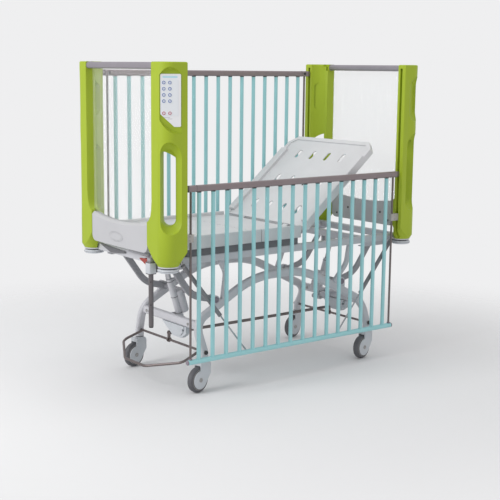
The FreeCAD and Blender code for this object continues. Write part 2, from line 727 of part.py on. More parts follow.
def deck_rails():
    """Dark rails between the side tubes and the seat and leg sections."""
    z0, z1 = frame_top + seat_gap, deck_z - seat_gap
    return [rounded_bar(rail_run[0], rail_run[1], s * tube_y, (z0 + z1) / 2.0, deck_foot_w, z1 - z0, 2.0)
            for s in (-1, 1)]


def deck_legs():
    """Leg section, laid on the frame beside the seat, with raised ribs across it."""
    x1 = leg_joint_x - deck_gap / 2.0
    body = deck_shell(-deck_foot_x, x1)
    top = deck_z + deck_h
    for i in range(rib_count):
        x = -deck_foot_x + 34 + i * rib_pitch
        rib = box(x, x + rib_w, -deck_half_w + 40, deck_half_w - 40, top - 2, top + rib_h)
        body = body.fuse(rib.makeFillet(3.5, edges_along(rib, V(0, 1, 0), lambda c: c.z > top)))
    return body.fuse(deck_feet(deck_foot_at[:2]))


def backrest():
    """Backrest plate, drawn flat and turned up about its hinge."""
    w, t = deck_half_w, back_t
    z1 = deck_z + deck_h
    z0 = z1 - t
    x0, x1 = hinge_x + 16 + deck_gap, hinge_x + back_len
    c = back_corner
    outline = [(x0, -w, z0), (x1 - c, -w, z0), (x1, -w + c, z0), (x1, w - c, z0), (x1 - c, w, z0), (x0, w, z0)]
    body = prism(outline, (0, 0, t))
    body = body.makeFillet(10.0, edges_along(body, V(0, 0, 1)))
    # recessed underside inside a rim, and the raised rim on top
    inner = [(x0 + 8, -w + rim_w, z0), (x1 - c - 4, -w + rim_w, z0), (x1 - rim_w, -w + c + 8, z0),
             (x1 - rim_w, w - c - 8, z0), (x1 - c - 4, w - rim_w, z0), (x0 + 8, w - rim_w, z0)]
    body = body.cut(prism(inner, (0, 0, t - 2 * deck_wall)))
    body = body.cut(prism([(x, y, z1 - deck_wall) for x, y, _ in inner], (0, 0, deck_wall + 1)))
    for s in (-1, 1):
        rail = box(x0 + 30, x1 - c - back_rail_end, s * (w - back_rail_w), s * w, z1 - 8, z1 + back_rail_h)
        body = body.fuse(rail.makeFillet(5.0, edges_along(rail, V(1, 0, 0), lambda m: m.z > z1)))
    for at in slot_row_at:
        for i in range(slot_cols):
            y = (i - (slot_cols - 1) / 2.0) * slot_pitch
            s = box(hinge_x + at - slot_len / 2.0, hinge_x + at + slot_len / 2.0, y - slot_w / 2.0,
                    y + slot_w / 2.0, z0 - 1, z1 + 1)
            body = body.cut(s.makeFillet(slot_w / 2.0 - 1.0, edges_along(s, V(0, 0, 1))))
    for s in (-1, 1):
        y = s * hinge_boss_y
        boss = cyl(hinge_boss_d, (hinge_x, y - hinge_boss_w / 2.0, hinge_z),
                   (hinge_x, y + hinge_boss_w / 2.0, hinge_z))
        web = box(hinge_x, x0 + 12, y - hinge_boss_w / 2.0, y + hinge_boss_w / 2.0, hinge_z - 9,
                  hinge_z + hinge_boss_d / 2.0)
        body = body.fuse([boss, web])
        body = body.cut(cyl(hinge_pin_d + 2 * hinge_play, (hinge_x, y - 30, hinge_z), (hinge_x, y + 30, hinge_z)))
    return turned(body, (hinge_x, 0, hinge_z), (0, 1, 0), -back_rest_deg)


def deck_pins():
    """Two hinge pins of the backrest."""
    reach = hinge_boss_w / 2.0 + 10.0
    return [cyl(hinge_pin_d, (hinge_x, s * hinge_boss_y - reach, hinge_z),
                (hinge_x, s * hinge_boss_y + reach, hinge_z)) for s in (-1, 1)]


# ================================================================ undercarriage
def arch_bar(extra):
    """Bent oval tube of an arch, drawn at +Y, its section grown all round by extra."""
    pts = [(leg_foot_x, leg_y, leg_end_z), (leg_foot_x, leg_y, leg_bend_z),
           (shoulder_foot[0], arch_y, shoulder_foot[1]), (arch_corner[0], arch_y, arch_top_z),
           (arch_corner[1], arch_y, arch_top_z), (shoulder_head[0], arch_y, shoulder_head[1]),
           (leg_head_x, leg_y, leg_bend_z), (leg_head_x, leg_y, leg_end_z)]
    path = bent_path(pts, [leg_bend_r, arch_bend_r, arch_top_r, arch_top_r, arch_bend_r, leg_bend_r])
    pipe = Part.BRepOffsetAPI.MakePipeShell(path)
    pipe.setBiNormalMode(V(0, 1, 0))
    pipe.add(oval(pts[0], (1, 0, 0), (0, 1, 0), arch_h + 2 * extra, arch_w + 2 * extra, arch_round + extra))
    pipe.build()
    pipe.makeSolid()
    return pipe.shape()


def arch():
    """One bent tube with two splayed legs, a raised middle and the ears of the lift arm pivots."""
    body = arch_bar(0.0)
    y0, y1 = arch_y - arm_ear_t / 2.0, arch_y + arm_ear_t / 2.0
    for px in (arm_pivot_x, -arm_pivot_x):
        half = arm_ear_d / 2.0
        ear = cyl(arm_ear_d, (px, y0, arm_pivot_z), (px, y1, arm_pivot_z))
        body = body.fuse([ear, box(px - half, px + half, y0, y1, arch_middle(px), arm_pivot_z)])
        body = body.cut(cyl(arm_pin_d + 2 * seat_gap, (px, y0 - arch_w, arm_pivot_z),
                            (px, y0 + arm_pin_in + 2, arm_pivot_z)))
    for x in (leg_foot_x, leg_head_x):
        body = body.cut(cyl(shaft_d + 2 * shaft_play, (x, leg_y - arch_w, shaft_z), (x, leg_y + arch_w, shaft_z)))
        body = body.cut(cyl(stem_d + 2 * seat_gap, (x, leg_y, leg_end_z - 1), (x, leg_y, leg_end_z + 12)))
    return body


def brace(x, sx):
    """Cross tube between the arches with the ears of the lift jack."""
    body = cross_bar(x, -arch_y, arch_y, brace_z, brace_w, brace_h, 12.0)
    tube = arch_bar(seat_gap)
    body = body.cut([tube, flip(tube, 1, -1)])
    xj = sx * abs(jack_low[0])
    for s in (-1, 1):
        y0, y1 = s * jack_ear_y, s * (jack_ear_y + jack_ear_t)
        ear = box(x, xj, y0, y1, brace_z - brace_h / 2.0 + 1, brace_z + brace_w / 2.0)
        ear = ear.fuse(cyl(jack_eye_d, (xj, y0, jack_low[1]), (xj, y1, jack_low[1])))
        body = body.fuse(ear)
    reach = jack_ear_y + jack_ear_t
    return body.fuse(cyl(jack_pin_d, (xj, -reach, jack_low[1]), (xj, reach, jack_low[1])))


def brake_guide(x):
    """Moulded guide under a cross tube, in two layers that taper to both ends."""
    z1 = brace_z - brace_h / 2.0 - seat_gap
    near_y, belly, far_y = guide_run
    layers = []
    for half, inset in ((guide_t / 2.0, 0.0), (guide_t / 2.0 + 5.0, 14.0)):
        side = [(x - half, far_y - 2 * inset, z1), (x - half, near_y + inset, z1),
                (x - half, near_y + inset, z1 - guide_deep[0] + inset), (x - half, near_y + 40, z1 - guide_deep[1] + inset),
                (x - half, belly, z1 - guide_deep[1] + inset)]
        layer = prism(side, (2 * half, 0, 0))
        layers.append(layer.makeFillet(6.0, edges_along(layer, V(1, 0, 0), lambda c: c.z < z1 - 5)))
    body = layers[0].fuse(layers[1])
    z = z1 - guide_deep[0] / 2.0 - 2
    return body.cut(cyl(guide_hole[1], (x - guide_t, guide_hole[0], z), (x + guide_t, guide_hole[0], z)))


def crank(x):
    """Crank arm of a brake shaft that carries the link."""
    y0 = link_y + link_d / 2.0 + seat_gap
    arm = box(x - crank_w / 2.0, x + crank_w / 2.0, y0, y0 + crank_t, shaft_z, link_z)
    arm = arm.fuse([cyl(2 * crank_r, (x, y0, shaft_z), (x, y0 + crank_t, shaft_z)),
                    cyl(crank_eye_d, (x, y0, link_z), (x, y0 + crank_t, link_z))])
    return arm.cut(cyl(link_pin_d + 2 * link_play, (x, y0 - 1, link_z), (x, y0 + crank_t + 1, link_z)))


def brake_shaft(x):
    """Cross shaft through both legs."""
    y1 = leg_y + arch_w / 2.0 + shaft_over
    return cyl(shaft_d, (x, -y1, shaft_z), (x, y1, shaft_z)).fuse(crank(x))


def brake_pedal():
    """Brake shaft of the foot end with its pedal loop."""
    x, z = leg_foot_x, shaft_z
    pts = [(x, -loop_y[0], z), (x - loop_out[0], -loop_y[1], z - loop_drop[0]),
           (x - loop_out[1], -loop_y[2], z - loop_drop[1]), (x - loop_out[1], loop_y[2], z - loop_drop[1]),
           (x - loop_out[0], loop_y[1], z - loop_drop[0]), (x, loop_y[0], z)]
    loop = round_bar(pts, [loop_r] * 4, loop_d)
    return brake_shaft(x).fuse(loop)


def brake_link():
    """Rod that joins the two brake shafts."""
    rod = cyl(link_d, (leg_foot_x - 8, link_y, link_z), (leg_head_x + 8, link_y, link_z))
    pins = [cyl(link_pin_d, (x, link_y, link_z), (x, link_y + link_d / 2.0 + crank_t + 3, link_z))
            for x in (leg_foot_x, leg_head_x)]
    return rod.fuse(pins)


# ================================================================ lift
def lift_arm(sx):
    """Pair of curved arms on a torsion tube, with a wheel beside each free end."""
    px, pz, wx, wz = arm_pivot_x, arm_pivot_z, arm_wheel_x, arm_wheel_z
    tube_end = arch_y - arm_ear_t / 2.0 + arm_pin_in
    parts = [cyl(arm_pin_d, (px, -tube_end, pz), (px, tube_end, pz))]
    dx, dz = arm_bend
    for s in (-1, 1):
        y, wheel_y = s * arm_y, s * arm_wheel_y
        path = bent_path([(px, y, pz), (px - dx, y, pz + dz), (wx, y, wz)], [arm_bend_r])
        n = V(0, 1, 0).cross(V(-dx, 0, dz))
        bar = swept(oval((px, y, pz), tuple(n), (0, 1, 0), arm_h, arm_t, 5.0), path)
        eye = cyl(arm_h + 6, (px, y - arm_eye_w / 2.0, pz), (px, y + arm_eye_w / 2.0, pz))
        tip = cyl(arm_wheel_d - 2, (wx, y - arm_t / 2.0, wz), (wx, y + arm_t / 2.0, wz))
        axle = cyl(10.0, (wx, y, wz), (wx, wheel_y, wz))
        wheel = cyl(arm_wheel_d, (wx, wheel_y - arm_wheel_w / 2.0, wz), (wx, wheel_y + arm_wheel_w / 2.0, wz))
        parts += [bar, eye, tip, axle, wheel]
    return flip(parts[0].fuse(parts[1:]), -sx, 1)


def jack_axis():
    a, b = V(jack_low[0], 0, jack_low[1]), V(jack_top[0], 0, jack_top[1])
    return a, (b - a).normalize(), (b - a).Length


def jack_body(sx):
    """Outer tube of a lift jack with its motor."""
    a, d, _ = jack_axis()
    tube = Part.makeCylinder(jack_d / 2.0, jack_len - 8, a + d * 8, d)
    base = cyl(jack_eye_d, tuple(a - V(0, 17, 0)), tuple(a + V(0, 17, 0)))
    side = V(d.z, 0, -d.x) * ((motor_d + jack_d) / 2.0 - 12)
    motor = Part.makeCylinder(motor_d / 2.0, motor_len, a + side + d * 22, d)
    motor = motor.makeFillet(8.0, [e for e in motor.Edges if isinstance(e.Curve, Part.Circle)])
    body = tube.fuse([base, motor])
    body = body.cut(cyl(jack_pin_d + 2 * seat_gap, tuple(a - V(0, 20, 0)), tuple(a + V(0, 20, 0))))
    bore = Part.makeCylinder(piston_d / 2.0 + seat_gap, jack_len, a + d * 24, d)
    return flip(body.cut(bore), -sx, 1)


def jack_piston(sx):
    """Piston of a lift jack with its upper eye."""
    a, d, length = jack_axis()
    rod = Part.makeCylinder(piston_d / 2.0, length - 26 - 8, a + d * 26, d)
    top = a + d * length
    eye = cyl(jack_eye_d, tuple(top - V(0, 10, 0)), tuple(top + V(0, 10, 0)))
    body = rod.fuse(eye)
    slot = cyl(jack_pin_d + 2 * jack_play, tuple(top - V(0, 12, 0)), tuple(top + V(0, 12, 0)))
    return flip(body.cut(slot), -sx, 1)


# ================================================================ castors
def castor_fork(x, y):
    """Swivelling housing with two cheeks and the stem that turns in the leg."""
    cz = wheel_d / 2.0
    half = wheel_w / 2.0 + housing_gap
    outer = half + housing_wall
    front, top, r, k = housing_front, housing_top, housing_disc_r, housing_top_r * (1 - math.sqrt(0.5))
    toe = math.radians(housing_toe_deg)
    knee, tip = V(front, -outer, housing_knee_z), V(-trail + r * math.cos(toe), -outer, cz - r * math.sin(toe))
    rear, back = V(-trail - r, -outer, cz), V(-trail, -outer, cz + r)
    side = Part.Wire([
        Part.LineSegment(V(-trail, -outer, top), V(front - housing_top_r, -outer, top)).toShape(),
        Part.Arc(V(front - housing_top_r, -outer, top), V(front - k, -outer, top - k),
                 V(front, -outer, top - housing_top_r)).toShape(),
        Part.LineSegment(V(front, -outer, top - housing_top_r), knee).toShape(),
        Part.LineSegment(knee, tip).toShape(),
        Part.Arc(tip, rear, back).toShape(),
        Part.LineSegment(back, V(-trail, -outer, top)).toShape()])
    body = Part.Face(side).extrude(V(0, 2 * outer, 0))
    body = body.makeFillet(housing_soft, [e for e in body.Edges if abs(abs(e.CenterOfMass.y) - outer) < 0.01])
    body = body.cut(box(-200, front - housing_front_t, -half, half, -1, housing_roof_z))
    axle = cyl(axle_d, (-trail, -outer, cz), (-trail, outer, cz))
    collar = Part.makeCylinder(20, leg_end_z - seat_gap - housing_top + 4, V(0, 0, housing_top - 4))
    stem = Part.makeCylinder(stem_d / 2.0, leg_end_z + 10 - housing_top + 4, V(0, 0, housing_top - 4))
    body = body.fuse([axle, collar, stem])
    body.rotate(V(0, 0, 0), V(0, 0, 1), castor_rest_deg)
    body.translate(V(x, y, 0))
    return body


def castor_wheel(x, y):
    """Wheel with its bonded tyre and a dished hub."""
    r, w = wheel_d / 2.0, wheel_w / 2.0
    disc = Part.makeCylinder(r, 2 * w, V(0, -w, 0), V(0, 1, 0))
    disc = disc.makeFillet(tyre_round, [e for e in disc.Edges if isinstance(e.Curve, Part.Circle)])
    for s in (-1, 1):
        ring = Part.makeCylinder(r - 16, 6, V(0, s * w, 0), V(0, -s, 0))
        ring = ring.cut(Part.makeCylinder(15, 8, V(0, s * (w + 1), 0), V(0, -s, 0)))
        disc = disc.cut(ring)
    disc = disc.cut(Part.makeCylinder(axle_d / 2.0 + 0.2, 4 * w, V(0, -2 * w, 0), V(0, 1, 0)))
    disc.translate(V(-trail, 0, r))
    disc.rotate(V(0, 0, 0), V(0, 0, 1), castor_rest_deg)
    disc.translate(V(x, y, 0))
    return disc


# ================================================================ gas springs
def gas_ends(sy):
    """Upper pin and lower ball of a gas spring in the XZ plane, at the head end."""
    return V(gas_top_x, 0, gas_top_z), V(gas_rail_x, 0, side_z[sy] + gas_rail_dz)


def gas_tube(sx, sy):
    a, b = gas_ends(sy)
    d = (b - a).normalize()
    y = V(0, gas_y, 0)
    tube = Part.makeCylinder(gas_tube_d / 2.0, gas_tube_len - 16, a + y + d * 16, d)
    eye = cyl(gas_eye_d, tuple(a + V(0, gas_y - gas_eye_t / 2.0, 0)), tuple(a + V(0, gas_y + gas_eye_t / 2.0, 0)))
    neck = Part.makeCylinder(4.0, 18, a + y + d * 5, d)
    body = tube.fuse([eye, neck])
    body = body.cut(cyl(gas_pin_d + 2 * gas_play, tuple(a + V(0, gas_y - 10, 0)), tuple(a + V(0, gas_y + 10, 0))))
    body = body.cut(Part.makeCylinder(gas_rod_d / 2.0 + gas_play, gas_tube_len, a + y + d * 40, d))
    return flip(body, sx, sy)


def gas_rod(sx, sy):
    a, b = gas_ends(sy)
    d, length = (b - a).normalize(), (b - a).Length
    rod_len = gas_open - gas_tube_len + gas_rod_in
    y = V(0, gas_y, 0)
    rod = Part.makeCylinder(gas_rod_d / 2.0, rod_len, a + y + d * (length - rod_len), d)
    eye = cyl(gas_eye_d - 2, tuple(b + V(0, gas_y - gas_eye_t / 2.0, 0)), tuple(b + V(0, gas_y + gas_eye_t / 2.0, 0)))
    return flip(rod.fuse(eye), sx, sy)


# ================================================================ small parts
def accessory_sleeve():
    """Closed stowage sleeve with its clamp block under the near foot corner."""
    x, y = sleeve_x, sleeve_y
    tube = cyl(sleeve_d, (x, y, sleeve_z[0]), (x, y, sleeve_z[1]))
    tube = tube.makeChamfer(2.0, [e for e in tube.Edges if isinstance(e.Curve, Part.Circle)])
    block = box(x - socket_w / 2.0, x + socket_w / 2.0, y - socket_w / 2.0, y + socket_w / 2.0,
                socket_z[0], socket_z[1])
    block = block.makeFillet(6.0, edges_along(block, V(0, 0, 1)))
    x1 = x + socket_w / 2.0 - 6
    clamp = box(x1 - clamp_w, x1, y - clamp_w / 2.0, y + clamp_w / 2.0, socket_z[1] - 2, clamp_top_z)
    clamp = clamp.makeFillet(5.0, edges_along(clamp, V(0, 0, 1)))
    arm = box(tube_end_x + seat_gap, x, y - 12, y + 12, socket_z[0] + 6, socket_z[1])
    return flip(tube.fuse([block, clamp, arm]), foot, near)


def release_lever(sx, sy):
    """Wedge shaped release lever on a hub that turns on the end tube."""
    x, y, z = tube_end_x + seat_gap, lever_y, frame_z + tube_h / 2.0
    hub = cyl(lever_hub_d, (x, y, z), (x + lever_hub_l, y, z))
    x1 = x + lever_hub_l - lever_t
    blade = prism([(x1, y - lever_in, z + lever_rise - 4), (x1, y + lever_out, z + lever_rise),
                   (x1, y + lever_out / 2.0, z - lever_drop)], (lever_t, 0, 0))
    blade = blade.makeFillet(3.0, edges_along(blade, V(1, 0, 0)))
    return flip(hub.fuse(blade), sx, sy)


def control_panel():
    """Label plate set in the recess of the near foot post."""
    z1 = post_top_z - label_drop
    half = label_w / 2.0
    # the lower edge runs up toward the foot side
    pts = [(0, half, z1), (0, -half, z1), (0, -half, z1 - label_h + label_cut[1]),
           (0, -half + label_cut[0], z1 - label_h), (0, half, z1 - label_h)]
    plate = prism(pts, (label_t, 0, 0))
    plate = plate.makeFillet(6.0, edges_along(plate, V(1, 0, 0)))
    return flip(on_facet(plate, seat_gap), foot, near)


def keypad():
    """Membrane with raised keys: two columns of round keys and a lower pair."""
    z1 = post_top_z - label_drop
    sheet = box(0, membrane_t, -label_w / 2.0 + 5, label_w / 2.0 - 12, z1 - red_key_row - 12, z1 - 24)
    sheet = sheet.makeFillet(5.0, edges_along(sheet, V(1, 0, 0)))
    rows = [key_first + i * key_pitch for i in range(key_rows)] + [red_key_row]
    keys = [cyl(key_d, (0, u, z1 - dz), (membrane_t + key_rise, u, z1 - dz)) for u in key_cols for dz in rows]
    return flip(on_facet(sheet.fuse(keys), seat_gap + label_t + key_sheet_lift), foot, near)


# ================================================================ write the pieces
def group(shapes):
    return Part.makeCompound(shapes)


NODES = {}
for sy, side in SIDES:
    NODES["arch_" + side] = flip(arch(), 1, sy)
    NODES["drop_side_grille_" + side] = flip(grille(side_z[sy]), 1, sy)
    NODES["drop_side_top_rail_" + side] = flip(top_rail(side_z[sy]), 1, sy)
    NODES["drop_side_guide_rods_" + side] = group([flip(r, 1, sy) for r in guide_rods(side_z[sy])])
    for sx, end in ENDS:
        leg_x = leg_foot_x if sx == foot else leg_head_x
        tag = side + "_" + end
        NODES["castor_housing_" + tag] = castor_fork(leg_x, sy * leg_y)
        NODES["castor_wheel_" + tag] = castor_wheel(leg_x, sy * leg_y)
        NODES["post_" + tag] = flip(post(sx == foot and sy == near), sx, sy)
        NODES["gas_spring_tube_" + tag] = gas_tube(sx, sy)
        NODES["gas_spring_rod_" + tag] = gas_rod(sx, sy)
for sx, end in ENDS:
    brace_x = brace_foot_x if sx == foot else brace_head_x
    NODES["cross_tube_" + end] = brace(brace_x, sx)
    NODES["brake_guide_" + end] = brake_guide(brace_x)
    NODES["lift_arm_" + end] = lift_arm(sx)
    NODES["lift_jack_body_" + end] = jack_body(sx)
    NODES["lift_jack_piston_" + end] = jack_piston(sx)
    NODES["end_rail_" + end] = flip(end_rail(), sx)
    NODES["end_pane_" + end] = flip(end_pane(), sx)
    NODES["end_cover_" + end] = flip(end_cover(), sx)
    NODES["release_lever_" + end] = release_lever(sx, near if sx == foot else far)
NODES["brake_pedal_loop"] = brake_pedal()
NODES["brake_shaft_head"] = brake_shaft(leg_head_x)
NODES["brake_link_rod"] = brake_link()
NODES["platform_frame"] = platform_frame()
NODES["bumper_rollers"] = group(bumper_rollers())
NODES["rail_guides"] = group(rail_guides())
NODES["accessory_sleeve"] = accessory_sleeve()
NODES["control_panel"] = control_panel()
NODES["keypad"] = keypad()
NODES["deck_seat"] = deck_seat()
NODES["deck_legs"] = deck_legs()
NODES["backrest"] = backrest()
NODES["deck_pins"] = group(deck_pins())
NODES["deck_rails"] = group(deck_rails())

os.makedirs("parts", exist_ok=True)
for name, shape in sorted(NODES.items()):
    bad = "" if shape.isValid() else "  INVALID"
    print("%-32s %2d solid(s) %10.1f cm3%s" % (name, len(shape.Solids), shape.Volume / 1000.0, bad))
    shape.exportStep("parts/%s.step" % name)
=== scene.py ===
import logging
import math
from dataclasses import dataclass, field, replace
from enum import Enum
from typing import Any, Sequence

import bpy
from mathutils import Matrix, Vector

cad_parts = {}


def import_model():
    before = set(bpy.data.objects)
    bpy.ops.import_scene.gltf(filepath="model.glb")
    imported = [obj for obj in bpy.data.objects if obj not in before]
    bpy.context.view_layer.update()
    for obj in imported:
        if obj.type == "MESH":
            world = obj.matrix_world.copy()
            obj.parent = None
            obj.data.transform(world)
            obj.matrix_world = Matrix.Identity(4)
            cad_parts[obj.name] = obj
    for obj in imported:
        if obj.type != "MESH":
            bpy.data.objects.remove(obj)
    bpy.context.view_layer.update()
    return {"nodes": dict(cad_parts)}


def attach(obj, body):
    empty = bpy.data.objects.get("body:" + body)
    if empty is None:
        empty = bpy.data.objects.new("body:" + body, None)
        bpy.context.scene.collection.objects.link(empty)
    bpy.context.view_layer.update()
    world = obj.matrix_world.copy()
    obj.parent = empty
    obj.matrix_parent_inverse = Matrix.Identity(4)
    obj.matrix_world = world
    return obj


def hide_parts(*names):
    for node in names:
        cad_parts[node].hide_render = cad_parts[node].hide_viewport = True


LOG = logging.getLogger("cot")
MM = 0.001
Point = tuple[float, float, float]
Pair = tuple[float, float]
Pairs = tuple[Pair, ...]

# Directions, as they are at the far head corner.
UP: Point = (0.0, 0.0, 1.0)
DOWN: Point = (0.0, 0.0, -1.0)
ACROSS: Point = (0.0, 1.0, 0.0)
INWARD: Point = (0.0, -1.0, 0.0)
HEADWARD: Point = (1.0, 0.0, 0.0)
FOOTWARD: Point = (-1.0, 0.0, 0.0)

SIDES = {"near": -1, "far": 1}
ENDS = {"foot": -1, "head": 1}
LEGS = {"foot": -515.0, "head": 560.0}  # place of the castors' swivel axes along the cot, in millimetres
DIAGONAL = math.sqrt(0.5)
EVEN: Point = (1.0, 1.0, 1.0)
NOISE_RANGE = (0.3, 0.7)  # where nearly all of a noise value lies
NOISE_ROUGHNESS = 0.55
GLOSS_RANGE = (0.85, 1.15)  # share by which the roughness wanders
GLOSS_LIMITS = (0.02, 1.0)
GLOSS_PATCH = 0.4  # size of those patches, as a share of the mottle's
METAL_FROM = 0.5  # a finish at or above this metallic value keeps the default IOR
FACING = 0.9  # least upward part of the normal of a face that is worked on
SHARP_DEG = 40.0  # least angle of an edge that is bevelled
MERGE_M = 1e-5  # distance under which corners of a loose mesh are one


# ---------------------------------------------------------------- colours and nodes
def linear(code: str) -> tuple[float, float, float, float]:
    """Turn an sRGB hex colour to linear values.

    Args:
        code: Colour such as "#A3BE2E".

    Returns:
        Red, green, blue and an alpha of one.
    """
    parts = [int(code[i:i + 2], 16) / 255.0 for i in (1, 3, 5)]
    red, green, blue = [c / 12.92 if c <= 0.04045 else ((c + 0.055) / 1.055) ** 2.4 for c in parts]
    return red, green, blue, 1.0


def add_node(tree: bpy.types.NodeTree, kind: str, inputs: dict[Any, Any] | None = None,
             **settings: Any) -> bpy.types.Node:
    """Add a shader node with its settings, values and links.

    Args:
        tree: Node tree that gets the node.
        kind: Blender's name of the node type.
        inputs: Input name or index, to a value or to the output socket that feeds it.
        settings: Attributes of the node.

    Returns:
        The new node.
    """
    node = tree.nodes.new(kind)
    for name, value in settings.items():
        setattr(node, name, value)
    for key, value in (inputs or {}).items():
        if isinstance(value, bpy.types.NodeSocket):
            tree.links.new(value, node.inputs[key])
        else:
            node.inputs[key].default_value = value
    return node


class Grain(Enum):
    """How the skin of a finish is broken up."""

    PEBBLE = "pebble"
    PEEL = "peel"
    BRUSHED = "brushed"
    SMOOTH = "smooth"


@dataclass(frozen=True)
class Finish:
    """A finish: what the material is, how its surface was made, and how light meets it.

    Attributes:
        name: Common name of the material and its surface.
        colour: sRGB hex colour.
        roughness: Spread of the highlight.
        metallic: One for bare metal.
        ior: Index of refraction; metals keep the default.
        coat: Strength of a clear top layer.
        coat_roughness: Spread of the top layer's highlight.
        grain: Kind of surface texture.
        grain_mm: Size of one grain.
        grain_depth_mm: Height of the grain.
        mottle: Share by which lightness wanders over the surface.
        mottle_mm: Size of that wander.
        lay: Direction that stretches brushed marks.
        alpha: Opacity.
        transmission: Share of light that passes through.
    """

    name: str
    colour: str
    roughness: float
    metallic: float = 0.0
    ior: float = 1.5
    coat: float = 0.0
    coat_roughness: float = 0.1
    grain: Grain = Grain.SMOOTH
    grain_mm: float = 2.0
    grain_depth_mm: float = 0.02
    mottle: float = 0.04
    mottle_mm: float = 120.0
    lay: Point = EVEN
    alpha: float = 1.0
    transmission: float = 0.0

    def pattern(self, tree: bpy.types.NodeTree, size_mm: float, stretch: Point, detail: float) -> Any:
        """Lay a noise over the piece.

        Args:
            tree: Node tree of the material.
            size_mm: Size of one patch of the noise.
            stretch: Scale of its coordinates; a small one draws it out along that axis.
            detail: Octaves of finer noise.

        Returns:
            The socket of the noise value.
        """
        place = add_node(tree, "ShaderNodeTexCoord").outputs["Object"]
        scaled = add_node(tree, "ShaderNodeMapping", {"Vector": place, "Scale": stretch})
        noise = add_node(tree, "ShaderNodeTexNoise", {
            "Vector": scaled.outputs["Vector"], "Scale": 1.0 / (size_mm * MM), "Detail": detail,
            "Roughness": NOISE_ROUGHNESS})
        return noise.outputs["Fac"]

    def shade(self, tree: bpy.types.NodeTree) -> Any:
        """Give the colour its slow wander in lightness.

        Args:
            tree: Node tree of the material.

        Returns:
            The socket of the colour.
        """
        slow = self.pattern(tree, self.mottle_mm, EVEN, 3.0)
        value = add_node(tree, "ShaderNodeMapRange", {
            "Value": slow, "From Min": NOISE_RANGE[0], "From Max": NOISE_RANGE[1],
            "To Min": 1.0 - self.mottle, "To Max": 1.0 + self.mottle})
        tint = add_node(tree, "ShaderNodeHueSaturation", {
            "Value": value.outputs["Result"], "Color": linear(self.colour)})
        return tint.outputs["Color"]

    def gloss(self, tree: bpy.types.NodeTree) -> Any:
        """Make the roughness a little uneven, as on a handled surface.

        Args:
            tree: Node tree of the material.

        Returns:
            The socket of the roughness, or nought for a polished surface.
        """
        if self.roughness == 0.0:
            return 0.0
        patches = self.pattern(tree, self.mottle_mm * GLOSS_PATCH, EVEN, 4.0)
        value = add_node(tree, "ShaderNodeMapRange", {
            "Value": patches, "From Min": NOISE_RANGE[0], "From Max": NOISE_RANGE[1],
            "To Min": max(GLOSS_LIMITS[0], self.roughness * GLOSS_RANGE[0]),
            "To Max": min(GLOSS_LIMITS[1], self.roughness * GLOSS_RANGE[1])})
        return value.outputs["Result"]

    def relief(self, tree: bpy.types.NodeTree) -> Any:
        """Raise the grain of the skin.

        Args:
            tree: Node tree of the material.

        Returns:
            The socket of the bumped normal, or None for a smooth skin.
        """
        if self.grain is Grain.SMOOTH:
            return None
        if self.grain is Grain.PEBBLE:
            place = add_node(tree, "ShaderNodeTexCoord").outputs["Object"]
            cells = add_node(tree, "ShaderNodeTexVoronoi", {
                "Vector": place, "Scale": 1.0 / (self.grain_mm * MM)}, feature="SMOOTH_F1")
            height = cells.outputs["Distance"]
        elif self.grain is Grain.BRUSHED:
            height = self.pattern(tree, self.grain_mm, self.lay, 2.0)
        else:
            height = self.pattern(tree, self.grain_mm, EVEN, 1.0)
        bump = add_node(tree, "ShaderNodeBump", {
            "Height": height, "Strength": 1.0, "Distance": self.grain_depth_mm * MM})
        return bump.outputs["Normal"]

    def build(self) -> bpy.types.Material:
        """Make the material.

        Returns:
            The new material.
        """
        material = bpy.data.materials.new(self.name)
        material.use_nodes = True
        tree = material.node_tree
        tree.nodes.clear()
        values: dict[Any, Any] = {
            "Base Color": self.shade(tree), "Roughness": self.gloss(tree), "Metallic": self.metallic,
            "Coat Weight": self.coat, "Coat Roughness": self.coat_roughness, "Alpha": self.alpha,
            "Transmission Weight": self.transmission}
        if self.metallic < METAL_FROM:
            values["IOR"] = self.ior
        normal = self.relief(tree)
        if normal is not None:
            values["Normal"] = normal
        skin = add_node(tree, "ShaderNodeBsdfPrincipled", values)
        add_node(tree, "ShaderNodeOutputMaterial", {"Surface": skin.outputs["BSDF"]})
        return material


# Polyurethane skin moulded in a sand-blasted tool: satin, with a very fine pebble.
POST_GREEN = Finish("moulded_polyurethane_green", "#A0B42A", 0.5, ior=1.4,
                    grain=Grain.PEBBLE, grain_mm=2.2, grain_depth_mm=0.03, mottle=0.03, mottle_mm=220.0)
# Polyester powder coat, baked: soft gloss with a slight orange peel.
BAR_TURQUOISE = Finish("powder_coat_turquoise", "#9AD0D4", 0.35, coat=0.2, coat_roughness=0.2,
                       grain=Grain.PEEL, grain_mm=5.0, grain_depth_mm=0.03, mottle=0.03, mottle_mm=160.0)
FRAME_COAT = Finish("powder_coat_light_grey", "#C3C3C8", 0.38, coat=0.15, coat_roughness=0.25,
                    grain=Grain.PEEL, grain_mm=6.0, grain_depth_mm=0.04, mottle=0.04, mottle_mm=180.0)
# Anodised aluminium profile, drawn along its length: satin with fine lines along the rail.
RAIL_MAUVE = Finish("anodised_aluminium_mauve", "#8F8385", 0.42, metallic=0.55, grain=Grain.BRUSHED,
                    grain_mm=3.0, grain_depth_mm=0.012, lay=(0.04, 1.0, 1.0), mottle=0.05, mottle_mm=90.0)
END_RAIL_GREY = Finish("anodised_aluminium_grey", "#98939A", 0.42, metallic=0.55, grain=Grain.BRUSHED,
                       grain_mm=3.0, grain_depth_mm=0.012, lay=(1.0, 0.04, 1.0), mottle=0.04, mottle_mm=90.0)
# Zinc plated steel, drawn bar, dulled to a brownish grey.
ROD_STEEL = Finish("zinc_plated_steel", "#7B7271", 0.33, metallic=0.85, grain=Grain.BRUSHED, grain_mm=2.5,
                   grain_depth_mm=0.01, lay=(1.0, 1.0, 0.05), mottle=0.08, mottle_mm=60.0)
